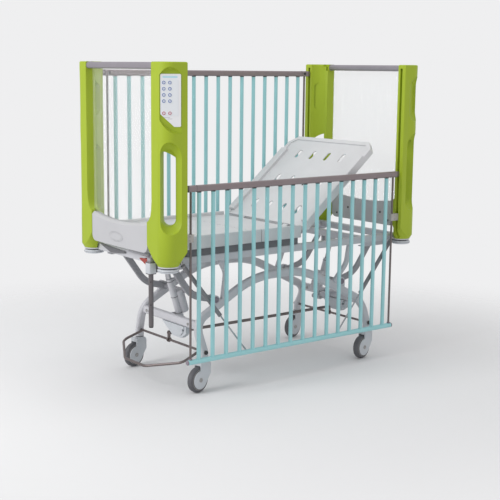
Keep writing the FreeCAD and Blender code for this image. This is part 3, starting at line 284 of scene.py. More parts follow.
# Injection moulded ABS from an etched tool: matt light grey.
COVER_GREY = Finish("moulded_abs_light_grey", "#BBBBBE", 0.48, ior=1.53, grain=Grain.PEBBLE, grain_mm=2.5,
                    grain_depth_mm=0.03, mottle=0.02, mottle_mm=200.0)
DECK_GREY = Finish("moulded_abs_grey", "#CFCFD1", 0.5, ior=1.53, grain=Grain.PEBBLE, grain_mm=2.5,
                   grain_depth_mm=0.04, mottle=0.03, mottle_mm=150.0)
CASTOR_GREY = Finish("moulded_nylon_grey", "#C0C4C9", 0.42, ior=1.53, grain=Grain.PEBBLE, grain_mm=2.0,
                     grain_depth_mm=0.03, mottle=0.03, mottle_mm=60.0)
ROLLER_GREY = Finish("moulded_nylon_pale", "#C6CAD0", 0.4, ior=1.53, grain=Grain.PEBBLE, grain_mm=2.0,
                     grain_depth_mm=0.02, mottle=0.03, mottle_mm=60.0)
GUIDE_GREY = Finish("moulded_acetal_grey", "#AAA7A2", 0.4, ior=1.48, grain=Grain.PEBBLE, grain_mm=1.5,
                    grain_depth_mm=0.02, mottle=0.03, mottle_mm=40.0)
# Thermoplastic rubber tread: matt, dark, slightly dusty.
TYRE_GREY = Finish("thermoplastic_rubber_grey", "#5C5C60", 0.62, ior=1.52, grain=Grain.PEBBLE, grain_mm=1.5,
                   grain_depth_mm=0.05, mottle=0.12, mottle_mm=30.0)
LEVER_RED = Finish("moulded_nylon_red", "#9C3A30", 0.42, ior=1.53, grain=Grain.PEBBLE, grain_mm=1.5,
                   grain_depth_mm=0.03, mottle=0.04, mottle_mm=40.0)
# Gas spring: grey lacquered tube and hard chromed rod.
GAS_GREY = Finish("lacquered_steel_grey", "#77777B", 0.3, coat=0.4, coat_roughness=0.12,
                   grain=Grain.PEEL, grain_mm=4.0, grain_depth_mm=0.02, mottle=0.04, mottle_mm=60.0)
GAS_CHROME = Finish("hard_chromed_steel", "#B9B9BC", 0.14, metallic=1.0, mottle=0.03, mottle_mm=60.0)
# Extruded acrylic sheet: clear and polished, so that it only shows its reflections.
PANE_CLEAR = Finish("clear_acrylic", "#FCFEFE", 0.0, ior=1.49, alpha=0.12, transmission=0.4, mottle=0.005,
                    mottle_mm=300.0)
# Polyester film with a satin print, embossed at the keys: a soft even sheen.
LABEL_WHITE = Finish("satin_film_white", "#E9E9EC", 0.35, ior=1.6, grain=Grain.PEEL, grain_mm=3.0,
                     grain_depth_mm=0.01, mottle=0.01, mottle_mm=80.0)
KEY_WHITE = Finish("embossed_film_pale", "#E3E6EA", 0.35, ior=1.6, grain=Grain.PEEL, grain_mm=3.0,
                   grain_depth_mm=0.01, mottle=0.01, mottle_mm=60.0)
# Black chromated steel tube of the sleeve: a dull dark metal with faint lines along it.
SLEEVE_DARK = Finish("black_chromated_steel", "#6C686A", 0.4, metallic=0.5, grain=Grain.BRUSHED, grain_mm=2.5,
                     grain_depth_mm=0.01, lay=(1.0, 1.0, 0.05), mottle=0.06, mottle_mm=50.0)
# Extruded PVC rail: matt dark grey, painted shade standing in for the shadow gap under the deck skirt.
RAIL_PAINTED_SHADE_GREY = Finish("extruded_pvc_painted_shade_grey", "#6B6B6F", 0.55, ior=1.53, grain=Grain.PEBBLE, grain_mm=3.0,
                   grain_depth_mm=0.03, mottle=0.05, mottle_mm=120.0)
# Lift arms and jacks: the same powder coat as the frame, darkened to a deeper grey as painted shade for the
# shade under the platform.
ARM_COAT_PAINTED_SHADE = Finish("powder_coat_painted_shade_grey", "#97979C", 0.42, coat=0.1, coat_roughness=0.3,
                  grain=Grain.PEEL, grain_mm=6.0, grain_depth_mm=0.04, mottle=0.05, mottle_mm=120.0)
# Injection moulded polyamide caps, collars and plugs, seams and joint lines: satin black or mauve.
CAP_BLACK = Finish("moulded_polyamide_black", "#2E2E30", 0.45, ior=1.53, grain=Grain.PEBBLE, grain_mm=1.0,
                   grain_depth_mm=0.02, mottle=0.05, mottle_mm=20.0)
PLUG_MAUVE = Finish("moulded_polyamide_mauve", "#857B86", 0.45, ior=1.53, grain=Grain.PEBBLE, grain_mm=1.0,
                    grain_depth_mm=0.02, mottle=0.04, mottle_mm=20.0)
# Zinc plated steel screws, rings, clips and washers: bright, with fine turning marks.
SCREW_ZINC = Finish("zinc_plated_screw", "#A7A5A3", 0.3, metallic=0.9, grain=Grain.BRUSHED, grain_mm=0.8,
                    grain_depth_mm=0.006, lay=(1.0, 0.2, 1.0), mottle=0.06, mottle_mm=10.0)
# Screen printed inks on the control panel, under a satin varnish: flat even colour with a soft sheen.
INK_BLUE, INK_RED, INK_PALE, INK_GREEN, INK_GREY = (
    Finish(f"printed_ink_{name}", colour, 0.4, mottle=0.02, mottle_mm=10.0) for name, colour in (
        ("blue", "#2E5CA6"), ("red", "#B22F4F"), ("pale_blue", "#B7DCE8"), ("green", "#5FB84C"),
        ("grey", "#9A9AA0")))


@dataclass
class PaintShop:
    """Keeps each finish's material, so that it is made once."""

    made: dict[str, bpy.types.Material] = field(default_factory=dict)

    def material(self, finish: Finish) -> bpy.types.Material:
        """Return the material of a finish.

        Args:
            finish: The finish.

        Returns:
            Its material, made on the first call.
        """
        if finish.name not in self.made:
            self.made[finish.name] = finish.build()
        return self.made[finish.name]

    def coat(self, piece: bpy.types.Object, finish: Finish) -> None:
        """Give a piece one finish all over.

        Args:
            piece: Mesh object.
            finish: Finish that it gets.
        """
        piece.data.materials.clear()
        piece.data.materials.append(self.material(finish))


# ---------------------------------------------------------------- studio
@dataclass(frozen=True)
class Lamp:
    """A square soft light.

    Attributes:
        name: Its name.
        at: Its place in metres.
        aim: The point that it faces.
        size: Length of its side.
        power: Its power in watts.
    """

    name: str
    at: Point
    aim: Point
    size: float
    power: float

    def hang(self) -> None:
        """Add the light to the scene."""
        data = bpy.data.lights.new(self.name, "AREA")
        data.shape = "SQUARE"
        data.size = self.size
        data.energy = self.power
        lamp = bpy.data.objects.new(self.name, data)
        bpy.context.scene.collection.objects.link(lamp)
        line = Vector(self.aim) - Vector(self.at)
        lamp.matrix_world = Matrix.Translation(self.at) @ line.to_track_quat("-Z", "Y").to_matrix().to_4x4()


@dataclass
class Studio:
    """Pale floor, soft light and the camera.

    Attributes:
        focal_px: Focal length in pixels of a frame frame_px wide.
        frame_px: Width of that frame.
        sensor_mm: Width of the sensor.
        clip_end: Distance in metres up to which the camera sees.
        eye: Place of the camera.
        pitch: Downward tilt in radians.
        yaw: Turn from the +Y direction towards +X in radians.
        roll: Turn about the view line in radians.
        paper: Colour of the background.
        floor_paper: Colour of the floor.
        floor_gloss: Roughness and sheen of the floor.
        floor_r: Radius of the floor.
        floor_sides: Number of its sides.
        fade: Radii between which the floor runs into the background.
        room: Strength of the light from all round.
        lamps: The soft lights.
    """

    focal_px: float = 1089.5
    frame_px: float = 500.0
    sensor_mm: float = 36.0
    clip_end: float = 60.0
    eye: Point = (-3.4620, -4.4108, 1.5340)
    pitch: float = 0.16574
    yaw: float = 0.66311
    roll: float = 0.01071
    paper: str = "#EFEFF0"
    floor_paper: str = "#E5E5E6"
    floor_gloss: Pair = (0.9, 0.15)
    floor_r: float = 9.0
    floor_sides: int = 96
    fade: Pair = (1.2, 2.8)
    room: float = 0.86
    lamps: tuple[Lamp, ...] = (Lamp("key", (-4.6, 0.2, 2.9), (0.0, 0.0, 0.7), 1.8, 95.0),
                               Lamp("top", (0.0, 0.0, 4.2), (0.0, 0.0, 0.4), 3.0, 26.0))

    def camera(self) -> None:
        """Add the camera at the fitted place and make it the scene's."""
        data = bpy.data.cameras.new("view")
        data.sensor_width = self.sensor_mm
        data.lens = self.focal_px / self.frame_px * self.sensor_mm
        data.clip_end = self.clip_end
        camera = bpy.data.objects.new("view", data)
        bpy.context.scene.collection.objects.link(camera)
        ahead = Vector((math.sin(self.yaw) * math.cos(self.pitch), math.cos(self.yaw) * math.cos(self.pitch),
                        -math.sin(self.pitch)))
        right = Vector((math.cos(self.yaw), -math.sin(self.yaw), 0.0))
        up = right.cross(ahead)
        turned_right = right * math.cos(self.roll) + up * math.sin(self.roll)
        turned_up = up * math.cos(self.roll) - right * math.sin(self.roll)
        basis = Matrix((turned_right, turned_up, -ahead)).transposed().to_4x4()
        camera.matrix_world = Matrix.Translation(self.eye) @ basis
        bpy.context.scene.camera = camera

    def floor(self) -> None:
        """Add the floor, which fades into the background far from the cot."""
        bpy.ops.object.select_all(action="DESELECT")
        bpy.ops.mesh.primitive_circle_add(vertices=self.floor_sides, radius=self.floor_r, fill_type="NGON")
        floor = bpy.context.object
        floor.name = "floor"
        material = bpy.data.materials.new("seamless_paper")
        material.use_nodes = True
        tree = material.node_tree
        tree.nodes.clear()
        place = add_node(tree, "ShaderNodeTexCoord").outputs["Object"]
        reach = add_node(tree, "ShaderNodeVectorMath", {0: place}, operation="LENGTH").outputs["Value"]
        ramp = add_node(tree, "ShaderNodeMapRange", {
            "Value": reach, "From Min": self.fade[0], "From Max": self.fade[1]},
            interpolation_type="SMOOTHSTEP")
        paper = add_node(tree, "ShaderNodeBsdfPrincipled", {
            "Base Color": linear(self.floor_paper), "Roughness": self.floor_gloss[0],
            "Specular IOR Level": self.floor_gloss[1]})
        clear = add_node(tree, "ShaderNodeBsdfTransparent")
        mix = add_node(tree, "ShaderNodeMixShader", {
            0: ramp.outputs["Result"], 1: paper.outputs["BSDF"], 2: clear.outputs["BSDF"]})
        add_node(tree, "ShaderNodeOutputMaterial", {"Surface": mix.outputs["Shader"]})
        floor.data.materials.append(material)

    def background(self) -> None:
        """Light the room evenly with the paper's colour."""
        world = bpy.data.worlds.new("room")
        world.use_nodes = True
        tree = world.node_tree
        tree.nodes.clear()
        glow = add_node(tree, "ShaderNodeBackground", {"Color": linear(self.paper), "Strength": self.room})
        seen = add_node(tree, "ShaderNodeBackground", {"Color": linear(self.paper), "Strength": 1.0})
        eye = add_node(tree, "ShaderNodeLightPath")
        mix = add_node(tree, "ShaderNodeMixShader", {
            0: eye.outputs["Is Camera Ray"], 1: glow.outputs["Background"], 2: seen.outputs["Background"]})
        add_node(tree, "ShaderNodeOutputWorld", {"Surface": mix.outputs["Shader"]})
        bpy.context.scene.world = world

    def build(self) -> None:
        """Set up floor, lights and camera."""
        self.floor()
        self.background()
        for lamp in self.lamps:
            lamp.hang()
        self.camera()
        bpy.context.scene.view_settings.view_transform = "Standard"
        LOG.info("studio ready")


# ---------------------------------------------------------------- modelling
class Boolean(Enum):
    """How one shape is combined with another."""

    JOIN = "UNION"
    CUT = "DIFFERENCE"


def mm(*values: float) -> tuple[float, ...]:
    """Turn millimetres to metres."""
    return tuple(value * MM for value in values)


def clear() -> None:
    """Leave edit mode and deselect everything."""
    if bpy.context.object is not None and bpy.context.object.mode != "OBJECT":
        bpy.ops.object.mode_set(mode="OBJECT")
    bpy.ops.object.select_all(action="DESELECT")


def take(piece: bpy.types.Object) -> None:
    """Select one piece alone and make it active.

    Args:
        piece: The piece.
    """
    clear()
    piece.select_set(True)
    bpy.context.view_layer.objects.active = piece


def aim(axis: Sequence[float]) -> tuple[float, ...]:
    """Return the turn that brings +Z to an axis."""
    return tuple(Vector(axis).to_track_quat("Z", "Y").to_euler())


def soften(width: float, rows: int) -> None:
    """Bevel the sharp edges of the active piece.

    Args:
        width: Width of the bevel in millimetres.
        rows: Rows of faces across it.
    """
    piece = bpy.context.object
    bpy.ops.object.modifier_add(type="BEVEL")
    bevel = piece.modifiers[-1]
    bevel.width = width * MM
    bevel.segments = rows
    bevel.limit_method = "ANGLE"
    bevel.angle_limit = math.radians(SHARP_DEG)
    bpy.ops.object.modifier_apply(modifier=bevel.name)


@dataclass(frozen=True)
class Turned:
    """A turned screw, cap or plug: a disc whose outer face steps in and up or down, in millimetres.

    Attributes:
        finish: Its finish.
        radius: Radius of the disc.
        height: Height of the disc.
        steps: Pairs of inset and rise for the outer face, one after another.
        edge: Bevel of its edges.
        sides: Number of sides of the circle.
    """

    finish: Finish
    radius: float
    height: float
    steps: Pairs = ()
    edge: float = 0.6
    sides: int = 40

    def make(self) -> bpy.types.Object:
        """Turn the part.

        Returns:
            The part, seated on the origin and facing +Z.
        """
        clear()
        radius, height = mm(self.radius, self.height)
        bpy.ops.mesh.primitive_cylinder_add(vertices=self.sides, radius=radius, depth=height,
                                            location=(0.0, 0.0, height / 2.0))
        piece = bpy.context.object
        bpy.ops.object.transform_apply(location=True, rotation=False, scale=False)
        if self.steps:
            for face in piece.data.polygons:
                face.select = face.normal.z > FACING
            for lower in (piece.data.edges, piece.data.vertices):
                for element in lower:
                    element.select = False
            bpy.ops.object.mode_set(mode="EDIT")
            bpy.ops.mesh.select_mode(type="FACE")
            for inset, rise in self.steps:
                bpy.ops.mesh.inset(thickness=inset * MM, depth=0.0)
                bpy.ops.transform.translate(value=mm(0.0, 0.0, rise))
            bpy.ops.object.mode_set(mode="OBJECT")
        soften(self.edge, 2)
        return piece


@dataclass(frozen=True)
class Hoop:
    """A ring of round wire, in millimetres.

    Attributes:
        finish: Its finish.
        radius: Radius to the middle of the wire.
        wire: Radius of the wire.
        sides: Number of segments round the ring.
        squash: Scale along its own X, Y and Z.
        wire_sides: Number of segments round the wire.
    """

    finish: Finish
    radius: float
    wire: float
    sides: int = 48
    squash: Point = (1.0, 1.0, 1.0)
    wire_sides: int = 10

    def make(self) -> bpy.types.Object:
        """Bend the ring.

        Returns:
            The ring round the origin, its axis along +Z.
        """
        clear()
        bpy.ops.mesh.primitive_torus_add(major_radius=self.radius * MM, minor_radius=self.wire * MM,
                                         major_segments=self.sides, minor_segments=self.wire_sides)
        piece = bpy.context.object
        piece.scale = self.squash
        bpy.ops.object.transform_apply(location=False, rotation=False, scale=True)
        return piece


@dataclass(frozen=True)
class Block:
    """A block, in millimetres.

    Attributes:
        finish: Its finish.
        size: Its length along its own X, Y and Z.
        edge: Bevel of its edges, or nought for sharp ones.
        rows: Rows of faces across the bevel.
    """

    finish: Finish
    size: Point
    edge: float = 0.0
    rows: int = 3

    def make(self) -> bpy.types.Object:
        """Cut the block.

        Returns:
            The block, its middle at the origin.
        """
        clear()
        bpy.ops.mesh.primitive_cube_add(size=1.0, scale=mm(*self.size))
        piece = bpy.context.object
        bpy.ops.object.transform_apply(location=False, rotation=False, scale=True)
        if self.edge > 0.0:
            soften(self.edge, self.rows)
        return piece


Part = Turned | Hoop | Block


@dataclass(frozen=True)
class Corner:
    """One corner of the cot.

    Attributes:
        side: near or far.
        end: foot or head.
    """

    side: str
    end: str

    @property
    def tag(self) -> str:
        """Return what names the corner in a piece's name."""
        return f"{self.side}_{self.end}"

    def at(self, x: float, y: float, z: float) -> Point:
        """Mirror a place or direction from the far head corner to this one.

        Args:
            x: Distance toward the head end there.
            y: Distance toward the far side there.
            z: Height.

        Returns:
            The mirrored one; the added noughts turn a negative nought to a plain one.
        """
        return x * ENDS[self.end] + 0.0, y * SIDES[self.side] + 0.0, z


CORNERS = [Corner(side, end) for side in SIDES for end in ENDS]
PANEL_CORNER = CORNERS[0]


@dataclass(frozen=True)
class Facet:
    """The slanted flat of a post's round corner, seen from above, in millimetres.

    Distances run outward and sideways from the middle of the round, along its diagonal.

    Attributes:
        corner: Middle of the round, from the middle of the cot.
        end_edge: Distances out and sideways of the edge toward the end of the cot.
        side_edge: The same of the edge toward the long side.
    """

    corner: Pair = (750.0, 335.0)
    end_edge: Pair = (50.0, -33.0)
    side_edge: Pair = (15.0, 70.0)

    @property
    def lean(self) -> float:
        """Return how far the flat falls back for each step sideways."""
        return (self.end_edge[0] - self.side_edge[0]) / (self.side_edge[1] - self.end_edge[1])

    def spot(self, corner: Corner, out: float, aside: float) -> Vector:
        """Return a point of the plan.

        Args:
            corner: Corner of the cot.
            out: Distance out along the diagonal.
            aside: Distance sideways, positive toward the long side.

        Returns:
            The point at floor level.
        """
        return Vector(corner.at(self.corner[0] + DIAGONAL * (out - aside),
                                self.corner[1] + DIAGONAL * (out + aside), 0.0))

    def basis(self, corner: Corner) -> tuple[Vector, Vector, Vector]:
        """Return the middle of the flat with its outward and sideways directions.

        Args:
            corner: Corner of the cot.

        Returns:
            Middle, outward direction and sideways direction.
        """
        middle = [(a + b) / 2.0 for a, b in zip(self.end_edge, self.side_edge)]
        turn = math.radians(45.0) + math.atan(self.lean)
        outward = Vector(corner.at(math.cos(turn), math.sin(turn), 0.0))
        sideways = Vector(corner.at(-math.sin(turn), math.cos(turn), 0.0))
        return self.spot(corner, *middle), outward, sideways


FACET = Facet()


@dataclass
class Bench:
    """Finishes pieces and hands them to the frame.

    Attributes:
        shop: Keeper of the materials.
        count: Number of pieces made so far.
    """

    shop: PaintShop
    count: int = 0

    def settle(self, piece: bpy.types.Object, name: str, finish: Finish, body: str,
               smooth: float = 35.0) -> None:
        """Apply the piece's place, smooth and coat it, and let it ride a body.

        Args:
            piece: The new mesh object.
            name: Its name.
            finish: Its finish.
            body: Body of the frame that carries it.
            smooth: Angle in degrees under which faces shade as one.
        """
        take(piece)
        bpy.ops.object.transform_apply(location=True, rotation=True, scale=True)
        bpy.ops.object.shade_smooth_by_angle(angle=math.radians(smooth))
        piece.name = name
        piece.data.name = name
        self.shop.coat(piece, finish)
        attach(piece, body)
        self.count += 1
        LOG.info("%s rides on %s", name, body)

    def fit(self, part: Part, name: str, body: str, at: Sequence[float], axis: Sequence[float] = UP) -> None:
        """Make a part, put it in its place and finish it.

        Args:
            part: The part.
            name: Name of the piece.
            body: Body of the frame that carries it.
            at: Its place in millimetres.
            axis: Direction of its own +Z.
        """
        self.settle(self.put(part, at, aim(axis)), name, part.finish, body)

    def fit_corner(self, part: Part, name: str, body: str, corner: Corner, at: Point,
                   axis: Point = UP) -> None:
        """Fit a part at one corner, with its place and axis given for the far head corner.

        Args:
            part: The part.
            name: Name of the piece without its corner.
            body: Body of the frame that carries it.
            corner: Corner of the cot.
            at: Its place in millimetres.
            axis: Direction of its own +Z.
        """
        self.fit(part, f"{name}_{corner.tag}", body, corner.at(*at), corner.at(*axis))

    def fit_row(self, part: Part, name: str, body: str, at: Point, count: int, step: Point) -> None:
        """Fit a row of equal parts as one piece.

        Args:
            part: The part.
            name: Name of the row.
            body: Body of the frame that carries it.
            at: Place of the first in millimetres.
            count: How many there are.
            step: Offset from one to the next in millimetres.
        """
        piece = self.put(part, at, aim(UP))
        take(piece)
        bpy.ops.object.transform_apply(location=True, rotation=True, scale=True)
        bpy.ops.object.modifier_add(type="ARRAY")
        row = piece.modifiers[-1]
        row.count = count
        row.use_relative_offset = False
        row.use_constant_offset = True
        row.constant_offset_displace = mm(*step)
        bpy.ops.object.modifier_apply(modifier=row.name)
        self.settle(piece, name, part.finish, body)

    @staticmethod
    def put(part: Part, at: Sequence[float], turn: Sequence[float]) -> bpy.types.Object:
        """Make a part and put it in its place.

        Args:
            part: The part.
            at: Its place in millimetres.
            turn: Its rotation as Euler angles.

        Returns:
            The part, not yet settled.
        """
        piece = part.make()
        piece.rotation_euler = turn
        piece.location = mm(*at)
        return piece

    @staticmethod
    def loft(rings: Sequence[Sequence[Vector]]) -> bpy.types.Object:
        """Raise a closed shape through rings of equal length, by extruding one ring face again and again.

        Args:
            rings: Rings of corners in metres.

        Returns:
            The closed shape.
        """
        clear()
        bpy.ops.mesh.primitive_circle_add(vertices=len(rings[0]), radius=1.0, fill_type="NGON")
        piece = bpy.context.object
        bpy.ops.object.mode_set(mode="EDIT")
        bpy.ops.mesh.select_mode(type="VERT")
        bpy.ops.mesh.select_all(action="SELECT")
        bpy.ops.object.mode_set(mode="OBJECT")
        for corner, place in zip(piece.data.vertices, rings[0]):
            corner.co = place
        for ring in rings[1:]:
            bpy.ops.object.mode_set(mode="EDIT")
            bpy.ops.mesh.select_mode(type="VERT")
            bpy.ops.mesh.extrude_region()
            bpy.ops.object.mode_set(mode="OBJECT")
            moved = [corner for corner in piece.data.vertices if corner.select]
            for corner, place in zip(moved, ring):
                corner.co = place
        bpy.ops.object.mode_set(mode="EDIT")
        bpy.ops.mesh.select_all(action="SELECT")
        bpy.ops.mesh.normals_make_consistent(inside=False)
        bpy.ops.object.mode_set(mode="OBJECT")
        return piece

    @staticmethod
    def combine(piece: bpy.types.Object, tool: bpy.types.Object, operation: Boolean) -> None:
        """Join or cut a piece with a tool, and take the tool away.

        Args:
            piece: Piece that is changed.
            tool: The other shape.
            operation: Whether the tool is joined or cut out.
        """
        take(piece)
        bpy.ops.object.modifier_add(type="BOOLEAN")
        boolean = piece.modifiers[-1]
        boolean.operation = operation.value
        boolean.solver = "EXACT"
        boolean.object = tool
        bpy.ops.object.modifier_apply(modifier=boolean.name)
        bpy.data.meshes.remove(tool.data)

    @staticmethod
    def shell(node: bpy.types.Object) -> bpy.types.Object:
        """Copy a carried-over moulding and merge its loose triangles.

        Args:
            node: The carried-over node.

        Returns:
            The merged copy.
        """
        piece = bpy.data.objects.new("moulding_copy", node.data.copy())
        bpy.context.scene.collection.objects.link(piece)
        take(piece)
        bpy.ops.mesh.customdata_custom_splitnormals_clear()
        bpy.ops.object.mode_set(mode="EDIT")
        bpy.ops.mesh.select_all(action="SELECT")
        bpy.ops.mesh.remove_doubles(threshold=MERGE_M)
        bpy.ops.mesh.normals_make_consistent(inside=False)
        bpy.ops.object.mode_set(mode="OBJECT")
        return piece


# ---------------------------------------------------------------- corner posts
class Opening(Enum):
    """Whether a dish on a corner post goes through."""

    WINDOW = "window"
    BLIND = "blind"


# Rings of a dish's cutter: distance outward from the facet, and share of the scoop's spread there.
FLARES = {
    Opening.WINDOW: ((-22.0, 0.0), (-15.0, 0.10), (-8.0, 0.34), (-2.0, 0.62), (5.0, 0.84), (13.0, 0.96),
                     (24.0, 1.04)),
    Opening.BLIND: ((-6.0, 0.0), (-4.0, 0.14), (0.0, 0.42), (5.0, 0.72), (12.0, 0.92), (24.0, 1.04)),
}


@dataclass(frozen=True)
class Dish:
    """A scooped recess on the slanted corner of a post, in millimetres.

    Attributes:
        low: Lower springing line of its window or floor.
        top: Highest point of its window or floor.
        scoop: Spread of the scoop at the left, right, lower and upper edge.
        kind: Whether it goes through.
        left: Edge of the window or floor toward the end of the cot.
        right: Edge toward the long side.
        fall: How far the upper edge falls from its peak to the long side.
        peak: Share of the width at which the upper edge is highest.
        bowl: Height of the lower bowl, and its gain for each millimetre of lower spread.
        shoulder: Fall of the upper edge to the left, and its gain for each millimetre of upper spread.
        ear: The same to the right, where it adds to the fall.
        powers: Roundness of the outline's corners, and of the long upper edge.
        near: Points closer than this are one.
    """

    low: float
    top: float
    scoop: tuple[float, float, float, float]
    kind: Opening = Opening.WINDOW
    left: float = -44.5
    right: float = 18.0
    fall: float = 33.0
    peak: float = 0.42
    bowl: Pair = (30.0, 0.6)
    shoulder: Pair = (34.0, 0.35)
    ear: Pair = (8.0, 0.55)
    powers: Pair = (2.0, 1.6)
    near: float = 0.4

    def outline(self, share: float, skew: float, count: int = 14) -> list[Pair]:
        """Return the line round the opening.

        Args:
            share: Share of the scoop's spread that is added.
            skew: Sideways shift of the whole outline.
            count: Points on each quarter.

        Returns:
            Points across and up.
        """
        left, right, down, up = (share * spread for spread in self.scoop)
        x0, x1 = self.left - left + skew, self.right + right + skew
        z0, z1 = self.low - down, self.top + up
        peak = x0 + self.peak * (x1 - x0)
        half = 0.5 * (x1 - x0)
        rise = min(half, self.bowl[0] + self.bowl[1] * down)
        plain, long = self.powers
        quarters = (
            (peak, z1, x0, z1 - self.shoulder[0] - self.shoulder[1] * up, plain),
            (x0 + half, z0, x0, z0 + rise, plain),
            (x1 - half, z0, x1, z0 + rise, plain),
            (peak, z1, x1, z1 - self.fall - self.ear[0] - self.ear[1] * up, long))
        steps = [math.pi / 2.0 * (i / count) for i in range(count + 1)]
        points = []
        for i, (cx, cz, ex, ez, power) in enumerate(quarters):
            arc = [(cx + (ex - cx) * math.sin(a) ** (2.0 / power),
                    ez + (cz - ez) * math.cos(a) ** (2.0 / power)) for a in steps]
            points += arc[::-1] if i % 2 else arc
        clean: list[Pair] = []
        for point in points:
            if not clean or math.dist(point, clean[-1]) > self.near:
                clean.append(point)
        if math.dist(clean[0], clean[-1]) < self.near:
            clean.pop()
        return clean

    def ring(self, share: float, skew: float, count: int = 72) -> list[Pair]:
        """Return the outline as a fixed number of evenly spread points.

        Args:
            share: Share of the scoop's spread that is added.
            skew: Sideways shift of the whole outline.
            count: Number of points.

        Returns:
            Points across and up.
        """
        points = self.outline(share, skew)
        runs = list(zip(points, points[1:] + points[:1]))
        total = sum(math.dist(a, b) for a, b in runs)
        spread = []
        for i in range(count):
            want, walked = total * i / count, 0.0
            for a, b in runs:
                run = math.dist(a, b)
                if walked + run >= want:
                    t = (want - walked) / run
                    spread.append((a[0] + (b[0] - a[0]) * t, a[1] + (b[1] - a[1]) * t))
                    break
                walked += run
        return spread


@dataclass
class CornerPosts:
    """The four moulded posts, with scooped windows that close at both sides.

    Each is the carried-over post, merged, filled at the flat of its dishes up to its round corner, scooped
    out with a flaring cutter, trimmed along its end wing above the cover, and closed round the end of the
    rail by its crown. The upper dish of the head posts is blind. All lengths are in millimetres.
    """

    bench: Bench
    nodes: dict[str, bpy.types.Object]
    reach: float = 59.65  # radius of the filled corner, just under the post's own
    arc_steps: int = 20
    tuck: Point = (1.0, 9.0, 5.0)  # how far the filler passes the side edge, and starts behind both edges
    back: Point = (-20.5, 44.0, -30.0)  # depth of a blind filler, and its two sides
    dish_low: Dish = Dish(826.0, 1166.0, (2.0, 44.0, 36.0, 38.0))
    dish_high: Dish = Dish(1298.0, 1470.0, (2.0, 44.0, 34.0, 28.0))
    fill_z: Pairs = ((748.0, 1243.0), (1222.0, 1546.0))
    wing_y: float = 250.0  # the trim's widths start here
    trim: Pairs = (
        (-8.0, 836.0), (3.0, 837.0), (17.0, 846.0), (29.0, 864.0), (36.0, 890.0), (40.0, 935.0),
        (40.0, 1570.0), (-8.0, 1570.0))
    trim_x: Pair = (700.0, 830.0)
    crown: Pairs = (
        (766.0, 1512.0), (809.9, 1512.0), (809.9, 1550.0), (808.0, 1554.6), (803.4, 1556.9), (766.0, 1556.9))
    crown_y: Pair = (290.2, 316.0)
    smooth: float = 32.0

    def filler(self, corner: Corner, heights: Pair, kind: Opening) -> bpy.types.Object:
        """Make the block that brings the facet back to the round corner.

        Args:
            corner: Corner of the cot.
            heights: Its underside and top.
            kind: A blind one also closes the window behind the facet.

        Returns:
            The block.
        """
        (end_out, end_aside), (side_out, side_aside) = FACET.end_edge, FACET.side_edge
        past, end_tuck, side_tuck = self.tuck
        start = math.asin(end_aside / self.reach)
        turned = [start + (math.pi / 4.0 - start) * i / self.arc_steps for i in range(self.arc_steps + 1)]
        plan = [(self.reach * math.cos(a), self.reach * math.sin(a)) for a in turned]
        plan.append((self.reach * 2.0 * DIAGONAL - side_aside - past, side_aside + past))
        plan.append((side_out - side_tuck, side_aside + past))
        if kind is Opening.BLIND:
            depth, side_back, end_back = self.back
            plan += [(depth, side_back), (depth, end_back)]
        plan.append((end_out - end_tuck, end_aside))
        return self.bench.loft([
            [(FACET.spot(corner, out, aside) + Vector((0.0, 0.0, z))) * MM for out, aside in plan]
            for z in heights])

    def cutter(self, corner: Corner, dish: Dish) -> bpy.types.Object:
        """Make the flaring cutter of one dish.

        Args:
            corner: Corner of the cot.
            dish: The dish.

        Returns:
            The cutter.
        """
        middle, outward, sideways = FACET.basis(corner)
        return self.bench.loft([
            [(middle + outward * out + sideways * x + Vector((0.0, 0.0, z))) * MM
             for x, z in dish.ring(share, -FACET.lean * out)]
            for out, share in FLARES[dish.kind]])

    def build(self) -> None:
        """Rework the four posts and let each stand for its node."""
        for corner in CORNERS:
            node = f"post_{corner.tag}"
            piece = self.bench.shell(self.nodes[node])
            dishes = [self.dish_low, self.dish_high]
            if corner == PANEL_CORNER:
                dishes.pop()
            elif corner.end == "head":
                dishes[1] = replace(self.dish_high, kind=Opening.BLIND)
            for heights, dish in zip(self.fill_z, dishes):
                self.bench.combine(piece, self.filler(corner, heights, dish.kind), Boolean.JOIN)
                self.bench.combine(piece, self.cutter(corner, dish), Boolean.CUT)
            trim = [[Vector(mm(*corner.at(x, self.wing_y + y, z))) for y, z in self.trim]
                    for x in self.trim_x]
            self.bench.combine(piece, self.bench.loft(trim), Boolean.CUT)
            crown = [[Vector(mm(*corner.at(x, y, z))) for x, z in self.crown] for y in self.crown_y]
            self.bench.combine(piece, self.bench.loft(crown), Boolean.JOIN)
            self.bench.settle(piece, f"moulded_{node}", POST_GREEN, "platform", self.smooth)
            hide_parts(node)
            LOG.info("%s has %d faces", piece.name, len(piece.data.polygons))


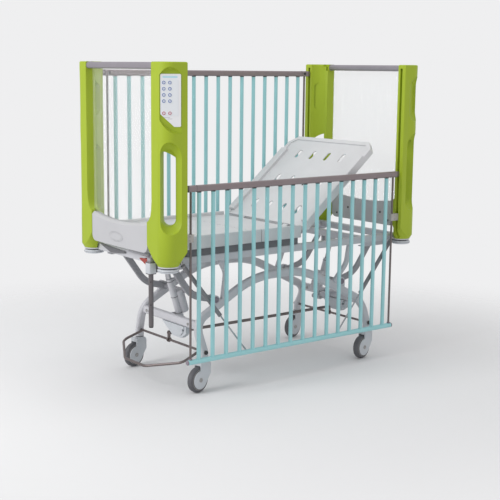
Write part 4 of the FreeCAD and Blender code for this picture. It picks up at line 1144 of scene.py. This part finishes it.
# ---------------------------------------------------------------- sub-assemblies
@dataclass
class Castors:
    """Axle screws, rim lines, seals and pins of the four castors, in millimetres."""

    bench: Bench
    leg_y: float = 287.0
    trail: float = 42.0
    rest_deg: float = 12.0
    wheel_r: float = 62.5
    cheek: float = 21.5
    leg_end: float = 154.7
    seal_drop: float = 1.6
    pin_z: float = 149.6
    pin_out: float = 12.0
    screw: Turned = Turned(SCREW_ZINC, 10.5, 2.2, ((3.0, 0.0), (0.4, -1.6), (2.2, 0.0)))
    seal: Hoop = Hoop(CAP_BLACK, 20.5, 1.4)
    pin: Turned = Turned(SCREW_ZINC, 4.8, 1.6, ((1.4, 0.0), (0.2, -1.0)))
    rings: tuple[tuple[str, Hoop, float], ...] = (
        ("castor_rim", Hoop(GUIDE_GREY, 48.5, 1.1, 64), 15.6),
        ("tyre_bead", Hoop(TYRE_GREY, 57.2, 0.9, 64), 12.6),
        ("tyre_line", Hoop(CAP_BLACK, 61.9, 0.5, 72), 5.5))

    def build(self) -> None:
        """Add the pieces of all four castors."""
        turn = math.radians(self.rest_deg)
        axle = Vector((-math.sin(turn), math.cos(turn), 0.0))
        for corner in CORNERS:
            stem = (LEGS[corner.end], SIDES[corner.side] * self.leg_y)
            hub = Vector((stem[0] - self.trail * math.cos(turn), stem[1] - self.trail * math.sin(turn),
                          self.wheel_r))
            self.wheel(corner.tag, hub, axle)
            body = f"castor_{corner.tag}"
            self.bench.fit(self.seal, f"castor_swivel_seal_{corner.tag}", body,
                           (*stem, self.leg_end - self.seal_drop))
            self.bench.fit(self.pin, f"castor_pin_{corner.tag}", body,
                           (stem[0] + self.pin_out * math.cos(turn), stem[1] + self.pin_out * math.sin(turn),
                            self.pin_z))

    def wheel(self, tag: str, hub: Vector, axle: Vector) -> None:
        """Add the axle screws and rings of one wheel.

        Args:
            tag: Corner of the cot.
            hub: Middle of the wheel.
            axle: Direction of the axle.
        """
        for i, way in enumerate((-1, 1)):
            self.bench.fit(self.screw, f"castor_axle_screw_{tag}_{i}", f"castor_{tag}",
                           hub + axle * (way * self.cheek), axle * way)
            for name, ring, out in self.rings:
                self.bench.fit(ring, f"{name}_{tag}_{i}", f"castor_wheel_{tag}",
                               hub + axle * (way * out), axle)


@dataclass
class Undercarriage:
    """Nuts, caps and bolts of the base frame and the brake, in millimetres."""

    bench: Bench
    braces: dict[str, float] = field(default_factory=lambda: {"foot": -511.0, "head": 548.0})
    brace_z: float = 306.0
    brace_half_w: float = 17.0
    bolt_y: tuple[float, ...] = (-196.0, -172.0, 172.0, 196.0)
    shaft_z: float = 190.0
    nut_y: float = 302.4
    washer_y: float = 301.8
    pivot: Point = (412.0, 245.0, 424.0)
    shaft_body: dict[str, str] = field(default_factory=lambda: {"foot": "brake_pedal", "head": "brake_shaft"})
    nut: Turned = Turned(CAP_BLACK, 10.5, 8.5, ((2.5, 1.5),), 0.8, 6)
    washer: Hoop = Hoop(SCREW_ZINC, 9.8, 1.8, 32)
    cap: Turned = Turned(PLUG_MAUVE, 15.0, 3.0, ((3.5, 1.2), (3.0, 0.0), (0.5, -2.0)))
    bolt: Turned = Turned(SCREW_ZINC, 6.8, 3.4, ((2.2, 0.0), (0.4, -1.8)), 0.6, 32)

    def build(self) -> None:
        """Add the pieces of the base frame."""
        for corner in CORNERS:
            x, sy, body = LEGS[corner.end], SIDES[corner.side], self.shaft_body[corner.end]
            self.bench.fit(self.nut, f"brake_nut_{corner.tag}", body,
                           (x, sy * self.nut_y, self.shaft_z), corner.at(*ACROSS))
            self.bench.fit(self.washer, f"brake_washer_{corner.tag}", body,
                           (x, sy * self.washer_y, self.shaft_z), ACROSS)
            self.bench.fit_corner(self.cap, "lift_pivot_cap", "base", corner, self.pivot, ACROSS)
        for end, x in self.braces.items():
            for i, y in enumerate(self.bolt_y):
                self.bench.fit(self.bolt, f"cross_tube_bolt_{end}_{i}", "base",
                               (x - self.brace_half_w, y, self.brace_z), FOOTWARD)


@dataclass
class DropSides:
    """Collars, weld beads, caps, seams and plugs of the two drop sides, in millimetres."""

    bench: Bench
    bars: int = 16
    pitch: float = 80.0
    plane_y: float = 365.0
    low_z: dict[str, float] = field(default_factory=lambda: {"near": 176.0, "far": 690.0})
    height: float = 813.0
    collar_drop: float = 18.6
    foot_rise: float = 12.0
    inner_y: float = 352.0
    cap_x: float = 663.2
    seam_x: float = 620.0
    button_x: float = 641.0
    plug_x: float = 661.0
    rod_x: float = 647.0
    ball: Point = (293.0, 333.4, -6.0)
    collar: Turned = Turned(CAP_BLACK, 11.2, 3.4, (), 0.8)
    weld: Hoop = Hoop(BAR_TURQUOISE, 10.1, 1.7, 24)
    cap: Block = Block(PLUG_MAUVE, (3.2, 26.8, 30.8), 1.2)
    seam: Block = Block(CAP_BLACK, (1.6, 26.5, 30.5), 7.8, 4)
    button: Turned = Turned(CAP_BLACK, 7.5, 2.6, ((1.6, -0.8),))
    foot: Turned = Turned(PLUG_MAUVE, 9.0, 5.0, ((2.2, 1.0),))
    plug: Turned = Turned(PLUG_MAUVE, 12.2, 4.2, ((3.0, 2.2), (4.0, 0.8)), 0.9)
    ball_cap: Turned = Turned(SCREW_ZINC, 5.6, 2.0, ((1.4, 0.8),))

    def build(self) -> None:
        """Add the pieces of both sides."""
        first = -(self.bars - 1) / 2.0 * self.pitch
        for side, sy in SIDES.items():
            low, y = self.low_z[side], sy * self.plane_y
            for name, part, z in (("bar_collars", self.collar, low + self.height - self.collar_drop),
                                  ("bar_welds", self.weld, low + self.foot_rise)):
                self.bench.fit_row(part, f"{name}_{side}", f"drop_side_{side}", (first, y, z), self.bars,
                                   (self.pitch, 0.0, 0.0))
        for corner in CORNERS:
            self.finish_end(corner, self.low_z[corner.side])

    def finish_end(self, corner: Corner, low: float) -> None:
        """Add the caps, seam, pad, foot and plug at one end of a side.

        Args:
            corner: Corner of the cot.
            low: Height of the bottom rail.
        """
        high, y = low + self.height, self.plane_y
        for name, part, place, axis in (
                ("rail_cap", self.cap, (self.cap_x, y, high), UP),
                ("rail_seam", self.seam, (self.seam_x, y, high), UP),
                ("rail_button", self.button, (self.button_x, self.inner_y, high), INWARD),
                ("guide_rod_foot", self.foot, (self.rod_x, y, low + self.foot_rise), UP),
                ("bottom_rail_plug", self.plug, (self.plug_x, y, low), HEADWARD)):
            self.bench.fit_corner(part, name, f"drop_side_{corner.side}", corner, place, axis)
        x, y, z = self.ball
        self.bench.fit_corner(self.ball_cap, "gas_ball_cap", f"gas_rod_{corner.tag}", corner, (x, y, low + z),
                              INWARD)


@dataclass
class GasSprings:
    """End rings and pin clips of the four gas springs, in millimetres."""

    bench: Bench
    top: Point = (682.0, 338.0, 646.0)
    ball_x: float = 293.0
    ball_z: dict[str, float] = field(default_factory=lambda: {"near": 170.0, "far": 684.0})
    clip_out: float = 6.4
    rings: tuple[tuple[str, float], ...] = (("gland", 352.95), ("shoulder", 21.0))
    ring: Turned = Turned(SCREW_ZINC, 10.9, 3.0)
    clip: Turned = Turned(SCREW_ZINC, 6.6, 1.6, ((1.8, 0.6),))

    def build(self) -> None:
        """Add the pieces of the four springs."""
        x, y, z = self.top
        for corner in CORNERS:
            top = Vector(corner.at(x, y, z))
            run = (Vector(corner.at(self.ball_x, y, self.ball_z[corner.side])) - top).normalized()
            for name, at in self.rings:
                self.bench.fit(self.ring, f"gas_{name}_{corner.tag}", f"gas_tube_{corner.tag}",
                               top + run * at, run)
            self.bench.fit_corner(self.clip, "gas_clip", "platform", corner, (x, y + self.clip_out, z),
                                  ACROSS)


@dataclass
class ControlPanel:
    """Printed and embossed marks of the control panel, all generic, in millimetres."""

    bench: Bench
    label_top: float = 1504.0
    face: float = 5.6
    plate_face: float = 3.45
    ink_depth: float = 0.25
    columns: Pair = (-31.0, -4.0)
    rows: tuple[float, ...] = (38.0, 65.0, 92.0, 119.0)
    low_row: float = 172.0
    low_bar: Pair = (1.4, 6.0)
    low_turn: float = 40.0
    band_at: Pair = (-3.0, 13.5)
    band: Pair = (66.0, 9.0)
    rules: tuple[Point, ...] = ((-18.0, 191.0, 30.0), (-4.0, 197.0, 22.0))
    rule_h: float = 1.3
    arrow_at: Pair = (0.6, 1.4)
    arrow_arm: Pair = (3.6, 0.9)
    arrow_turn: float = 42.0
    arrow_lift: float = 0.1
    row_turn: float = 18.0
    icon_at: float = 27.0
    icon_line: float = 1.1
    tilts: tuple[float, ...] = (34.0, 0.0, -14.0, 16.0)
    key: Hoop = Hoop(INK_BLUE, 6.2, 1.35, 36, (1.0, 1.0, 0.4))

    def place(self, across: float, drop: float, out: float) -> Vector:
        """Return a place on the panel.

        Args:
            across: Distance to the right of the middle.
            drop: Distance below the top of the label.
            out: Distance outward from the facet.

        Returns:
            The place in millimetres.
        """
        middle, outward, right = FACET.basis(PANEL_CORNER)
        return middle + outward * out + right * across + Vector((0.0, 0.0, self.label_top - drop))

    def mark(self, name: str, spot: Pair, size: Pair, ink: Finish, out: float,
             spin: float = 0.0) -> None:
        """Print one flat mark.

        Args:
            name: Name of the mark.
            spot: Place across the panel, and drop below the top of the label.
            size: Width and height.
            ink: Its ink.
            out: Distance outward from the facet.
            spin: Turn in the plane of the panel, in degrees.
        """
        _, outward, right = FACET.basis(PANEL_CORNER)
        flat = Matrix((right, Vector(UP), outward)).transposed()
        turn = flat @ Matrix.Rotation(math.radians(spin), 3, "Z")
        piece = self.bench.put(Block(ink, (*size, self.ink_depth)), self.place(*spot, out), turn.to_euler())
        self.bench.settle(piece, name, ink, "platform")

    def ring(self, name: str, spot: Pair, ink: Finish) -> None:
        """Print the ring of one key.

        Args:
            name: Name of the ring.
            spot: Place across the panel, and drop below the top of the label.
            ink: Its ink.
        """
        _, outward, _ = FACET.basis(PANEL_CORNER)
        self.bench.fit(replace(self.key, finish=ink), name, "platform", self.place(*spot, self.face), outward)

    def build(self) -> None:
        """Print the whole panel."""
        for row, drop in enumerate(self.rows):
            for column, across in enumerate(self.columns):
                self.ring(f"key_ring_{row}_{column}", (across, drop), INK_BLUE)
                self.arrow(row, column, (across, drop))
            self.icon(row, drop)
        for column, across in enumerate(self.columns):
            self.ring(f"key_ring_low_{column}", (across, self.low_row), INK_RED)
            self.mark(f"key_glyph_low_{column}", (across, self.low_row), self.low_bar, INK_RED, self.face,
                      self.low_turn * column)
        self.mark("panel_band", self.band_at, self.band, INK_PALE, self.plate_face)
        for line, (across, drop, width) in enumerate(self.rules):
            self.mark(f"panel_rule_{line}", (across, drop), (width, self.rule_h), INK_GREY, self.plate_face)

    def arrow(self, row: int, column: int, spot: Pair) -> None:
        """Print the small arrow inside a key ring.

        Args:
            row: Row of the key.
            column: Column of the key; the left ones point left.
            spot: Place across the panel, and drop below the top of the label.
        """
        way = 1.0 if column else -1.0
        for i, arm in enumerate((-1.0, 1.0)):
            at = (spot[0] + way * self.arrow_at[0], spot[1] + arm * self.arrow_at[1])
            self.mark(f"key_glyph_{row}_{column}_{i}", at, self.arrow_arm, INK_BLUE,
                      self.face + self.arrow_lift, way * arm * self.arrow_turn + self.row_turn * row)

    def icon(self, row: int, drop: float) -> None:
        """Print the icon beside a row of keys: a reclining line figure of three strokes.

        Args:
            row: Row of the keys.
            drop: Its drop below the top of the label.
        """
        tilt, ink = self.tilts[row], INK_GREY if row else INK_GREEN
        strokes = ((-3.2, 2.2, 7.5, tilt), (3.2, 2.8, 6.5, -0.4 * tilt), (0.0, -3.4, 9.0, 0.0))
        for i, (across, down, width, spin) in enumerate(strokes):
            self.mark(f"icon_{row}_{i}", (self.icon_at + across, drop + down),
                      (width, self.icon_line), ink, self.plate_face, spin)


@dataclass
class Ends:
    """Engraved oval, lug and bracket of the foot end, rivets and end rail screws, in millimetres."""

    bench: Bench
    nodes: dict[str, bpy.types.Object]
    oval_at: Point = (-813.5, 15.0, 736.0)
    oval: tuple[Hoop, ...] = (Hoop(COVER_GREY, 26.2, 1.9, 72, (2.35, 0.85, 1.0)),
                              Hoop(COVER_GREY, 20.5, 1.2, 72, (2.35, 0.85, 1.0)))
    lug: Block = Block(ARM_COAT_PAINTED_SHADE, (20.0, 176.0, 22.0), 9.0)
    lug_at: Point = (-762.0, -112.0, 673.0)
    bracket: Pairs = (
        (-22.0, 655.0), (-26.0, 648.0), (-150.0, 634.0), (-162.0, 636.0), (-248.0, 662.0), (-250.0, 669.0))
    bracket_x: Pair = (-753.0, -761.0)
    bracket_edge: float = 1.2
    rivet: Turned = Turned(CAP_BLACK, 5.8, 2.0, ((1.8, 0.8),))
    rivet_x: float = 778.0
    rivets: Pairs = (
        (-145.0, 756.0), (113.0, 756.0), (-205.0, 716.0), (205.0, 716.0))
    screw: Turned = Turned(SCREW_ZINC, 7.0, 1.8, ((1.8, 0.0), (0.3, -1.2)))
    screw_at: Point = (788.0, 278.0, 1554.9)

    def build(self) -> None:
        """Add the pieces of both ends."""
        self.engrave()
        self.bench.fit(self.lug, "cover_lug", "platform", self.lug_at)
        bracket = self.bench.loft([[Vector(mm(x, -y, z)) for y, z in self.bracket] for x in self.bracket_x])
        soften(self.bracket_edge, 2)
        self.bench.settle(bracket, "end_bracket", RAIL_PAINTED_SHADE_GREY, "platform")
        for end, sx in ENDS.items():
            for i, (y, z) in enumerate(self.rivets):
                self.bench.fit(self.rivet, f"cover_rivet_{end}_{i}", "platform", (sx * self.rivet_x, y, z),
                               (float(-sx), 0.0, 0.0))
        for corner in CORNERS:
            self.bench.fit_corner(self.screw, "end_rail_screw", "platform", corner, self.screw_at)

    def engrave(self) -> None:
        """Engrave the plain oval in a copy of the foot cover, and let the copy stand for its node."""
        cover = self.bench.shell(self.nodes["end_cover_foot"])
        for line in self.oval:
            self.bench.combine(cover, self.bench.put(line, self.oval_at, aim(HEADWARD)), Boolean.CUT)
        self.bench.settle(cover, "engraved_cover_foot", COVER_GREY, "platform")
        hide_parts("end_cover_foot")


@dataclass
class Platform:
    """Small parts of the rollers, rail guides, sleeve and jacks, in millimetres."""

    bench: Bench
    roller: tuple[tuple[str, Part, float, Point], ...] = (
        ("roller_seam", Hoop(CAP_BLACK, 50.0, 0.6, 72), 619.0, UP),
        ("roller_screw", Turned(SCREW_ZINC, 14.0, 2.4, ((3.0, 0.0), (0.6, 2.2), (2.5, 0.0))), 610.0, DOWN),
        ("roller_neck", Hoop(CAP_BLACK, 30.0, 2.2, 56), 629.4, UP))
    screw: Turned = Turned(SCREW_ZINC, 3.6, 1.2, ((1.0, 0.0), (0.2, -0.8)), 0.3, 24)
    screw_xy: Pair = (659.0, 377.0)
    screw_z: Pair = (753.0, 771.0)
    jack_low: Pair = (455.0, 296.0)
    jack_top: Pair = (552.0, 602.0)
    jack_ring: Hoop = Hoop(CAP_BLACK, 17.1, 1.4, 40)
    jack_rings: Point = (30.0, 118.0, 202.0)
    jack_clip: Turned = Turned(SCREW_ZINC, 7.8, 2.0, ((2.4, 0.8),))
    clip_y: float = 28.6
    sleeve: Pair = (-795.0, -260.0)
    sleeve_parts: tuple[tuple[str, Part, float, Point], ...] = (
        ("sleeve_socket", Block(CASTOR_GREY, (39.0, 39.0, 57.0), 6.0), 624.0, UP),
        ("sleeve_socket_lip", Block(GUIDE_GREY, (33.0, 33.0, 4.0), 1.5), 597.5, UP),
        ("sleeve_clamp", Block(ARM_COAT_PAINTED_SHADE, (27.0, 27.0, 20.0), 4.0), 662.5, UP),
        ("sleeve_plug", Turned(CAP_BLACK, 10.6, 4.0, ((2.5, 1.6),)), 348.6, DOWN),
        ("sleeve_mouth", Hoop(CAP_BLACK, 10.2, 1.6, 40), 651.4, UP))
    button: Turned = Turned(CAP_BLACK, 3.4, 1.6, ((1.0, 0.4),), 0.3, 24)
    button_z: Pair = (560.0, 452.0)
    button_way: Point = (-0.62, -0.78, 0.0)
    button_out: float = 10.9

    def build(self) -> None:
        """Add the pieces of the platform."""
        for corner in CORNERS:
            for name, part, z, axis in self.roller:
                self.bench.fit_corner(part, name, "platform", corner, (*FACET.corner, z), axis)
            for i, z in enumerate(self.screw_z):
                self.bench.fit(self.screw, f"guide_screw_{corner.tag}_{i}", "platform",
                               corner.at(*self.screw_xy, z), corner.at(*ACROSS))
        for end, sx in ENDS.items():
            self.jack(end, sx)
        for name, part, z, axis in self.sleeve_parts:
            self.bench.fit(part, name, "platform", (*self.sleeve, z), axis)
        way = Vector(self.button_way)
        for i, z in enumerate(self.button_z):
            self.bench.fit(self.button, f"sleeve_button_{i}", "platform",
                           Vector((*self.sleeve, z)) + way * self.button_out, way)

    def jack(self, end: str, sx: int) -> None:
        """Add the tube rings and pin clips of one lift jack.

        Args:
            end: End of the cot.
            sx: Its direction along the cot.
        """
        low, top = (Vector((sx * x, 0.0, z)) for x, z in (self.jack_low, self.jack_top))
        run = (top - low).normalized()
        for i, at in enumerate(self.jack_rings):
            self.bench.fit(self.jack_ring, f"jack_ring_{end}_{i}", f"jack_body_{end}", low + run * at, run)
        for i, sy in enumerate(SIDES.values()):
            self.bench.fit(self.jack_clip, f"jack_clip_{end}_{i}", "base",
                           (low.x, sy * self.clip_y, low.z), (0.0, float(sy), 0.0))


# ---------------------------------------------------------------- carried-over nodes
NODE_FINISH = {
    "post_": POST_GREEN, "arch_": FRAME_COAT, "cross_tube_": FRAME_COAT, "brake_guide_": CASTOR_GREY,
    "platform_frame": FRAME_COAT, "bumper_rollers": ROLLER_GREY, "rail_guides": GUIDE_GREY,
    "accessory_sleeve": SLEEVE_DARK, "control_panel": LABEL_WHITE, "keypad": KEY_WHITE,
    # the deck rails get the dark grey that is painted shade for the shadow gap under the deck skirt
    "deck_pins": ROD_STEEL, "deck_rails": RAIL_PAINTED_SHADE_GREY, "deck_seat": DECK_GREY, "deck_legs": DECK_GREY,
    "backrest": DECK_GREY, "end_rail_": END_RAIL_GREY, "end_pane_": PANE_CLEAR, "end_cover_": COVER_GREY,
    "drop_side_grille_": BAR_TURQUOISE, "drop_side_top_rail_": RAIL_MAUVE, "drop_side_guide_rods_": ROD_STEEL,
    "gas_spring_tube_": GAS_GREY, "gas_spring_rod_": GAS_CHROME, "castor_housing_": CASTOR_GREY,
    "castor_wheel_": TYRE_GREY, "brake_pedal_loop": ROD_STEEL, "brake_shaft_head": ROD_STEEL,
    # the lift arms get the frame's powder coat darkened as painted shade
    "brake_link_rod": ROD_STEEL, "lift_arm_": ARM_COAT_PAINTED_SHADE, "lift_jack_body_": FRAME_COAT,
    "lift_jack_piston_": GAS_CHROME, "release_lever_": LEVER_RED,
}


def dress_nodes(nodes: dict[str, bpy.types.Object], shop: PaintShop) -> None:
    """Give every carried-over node the finish of its kind.

    Args:
        nodes: The nodes by name.
        shop: Keeper of the materials.
    """
    for name, node in nodes.items():
        for start, finish in NODE_FINISH.items():
            if name.startswith(start):
                shop.coat(node, finish)
                break
        LOG.info("dressed %s", name)


def main() -> None:
    """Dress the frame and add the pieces."""
    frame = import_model()
    shop = PaintShop()
    dress_nodes(frame["nodes"], shop)
    bench = Bench(shop)
    for assembly in (Castors(bench), Undercarriage(bench), DropSides(bench), GasSprings(bench),
                     ControlPanel(bench), Ends(bench, frame["nodes"]), Platform(bench),
                     CornerPosts(bench, frame["nodes"])):
        assembly.build()
        LOG.info("%s done, %d pieces so far", type(assembly).__name__, bench.count)
    Studio().build()


if __name__ == "__main__":
    logging.basicConfig(level=logging.INFO)
    main()
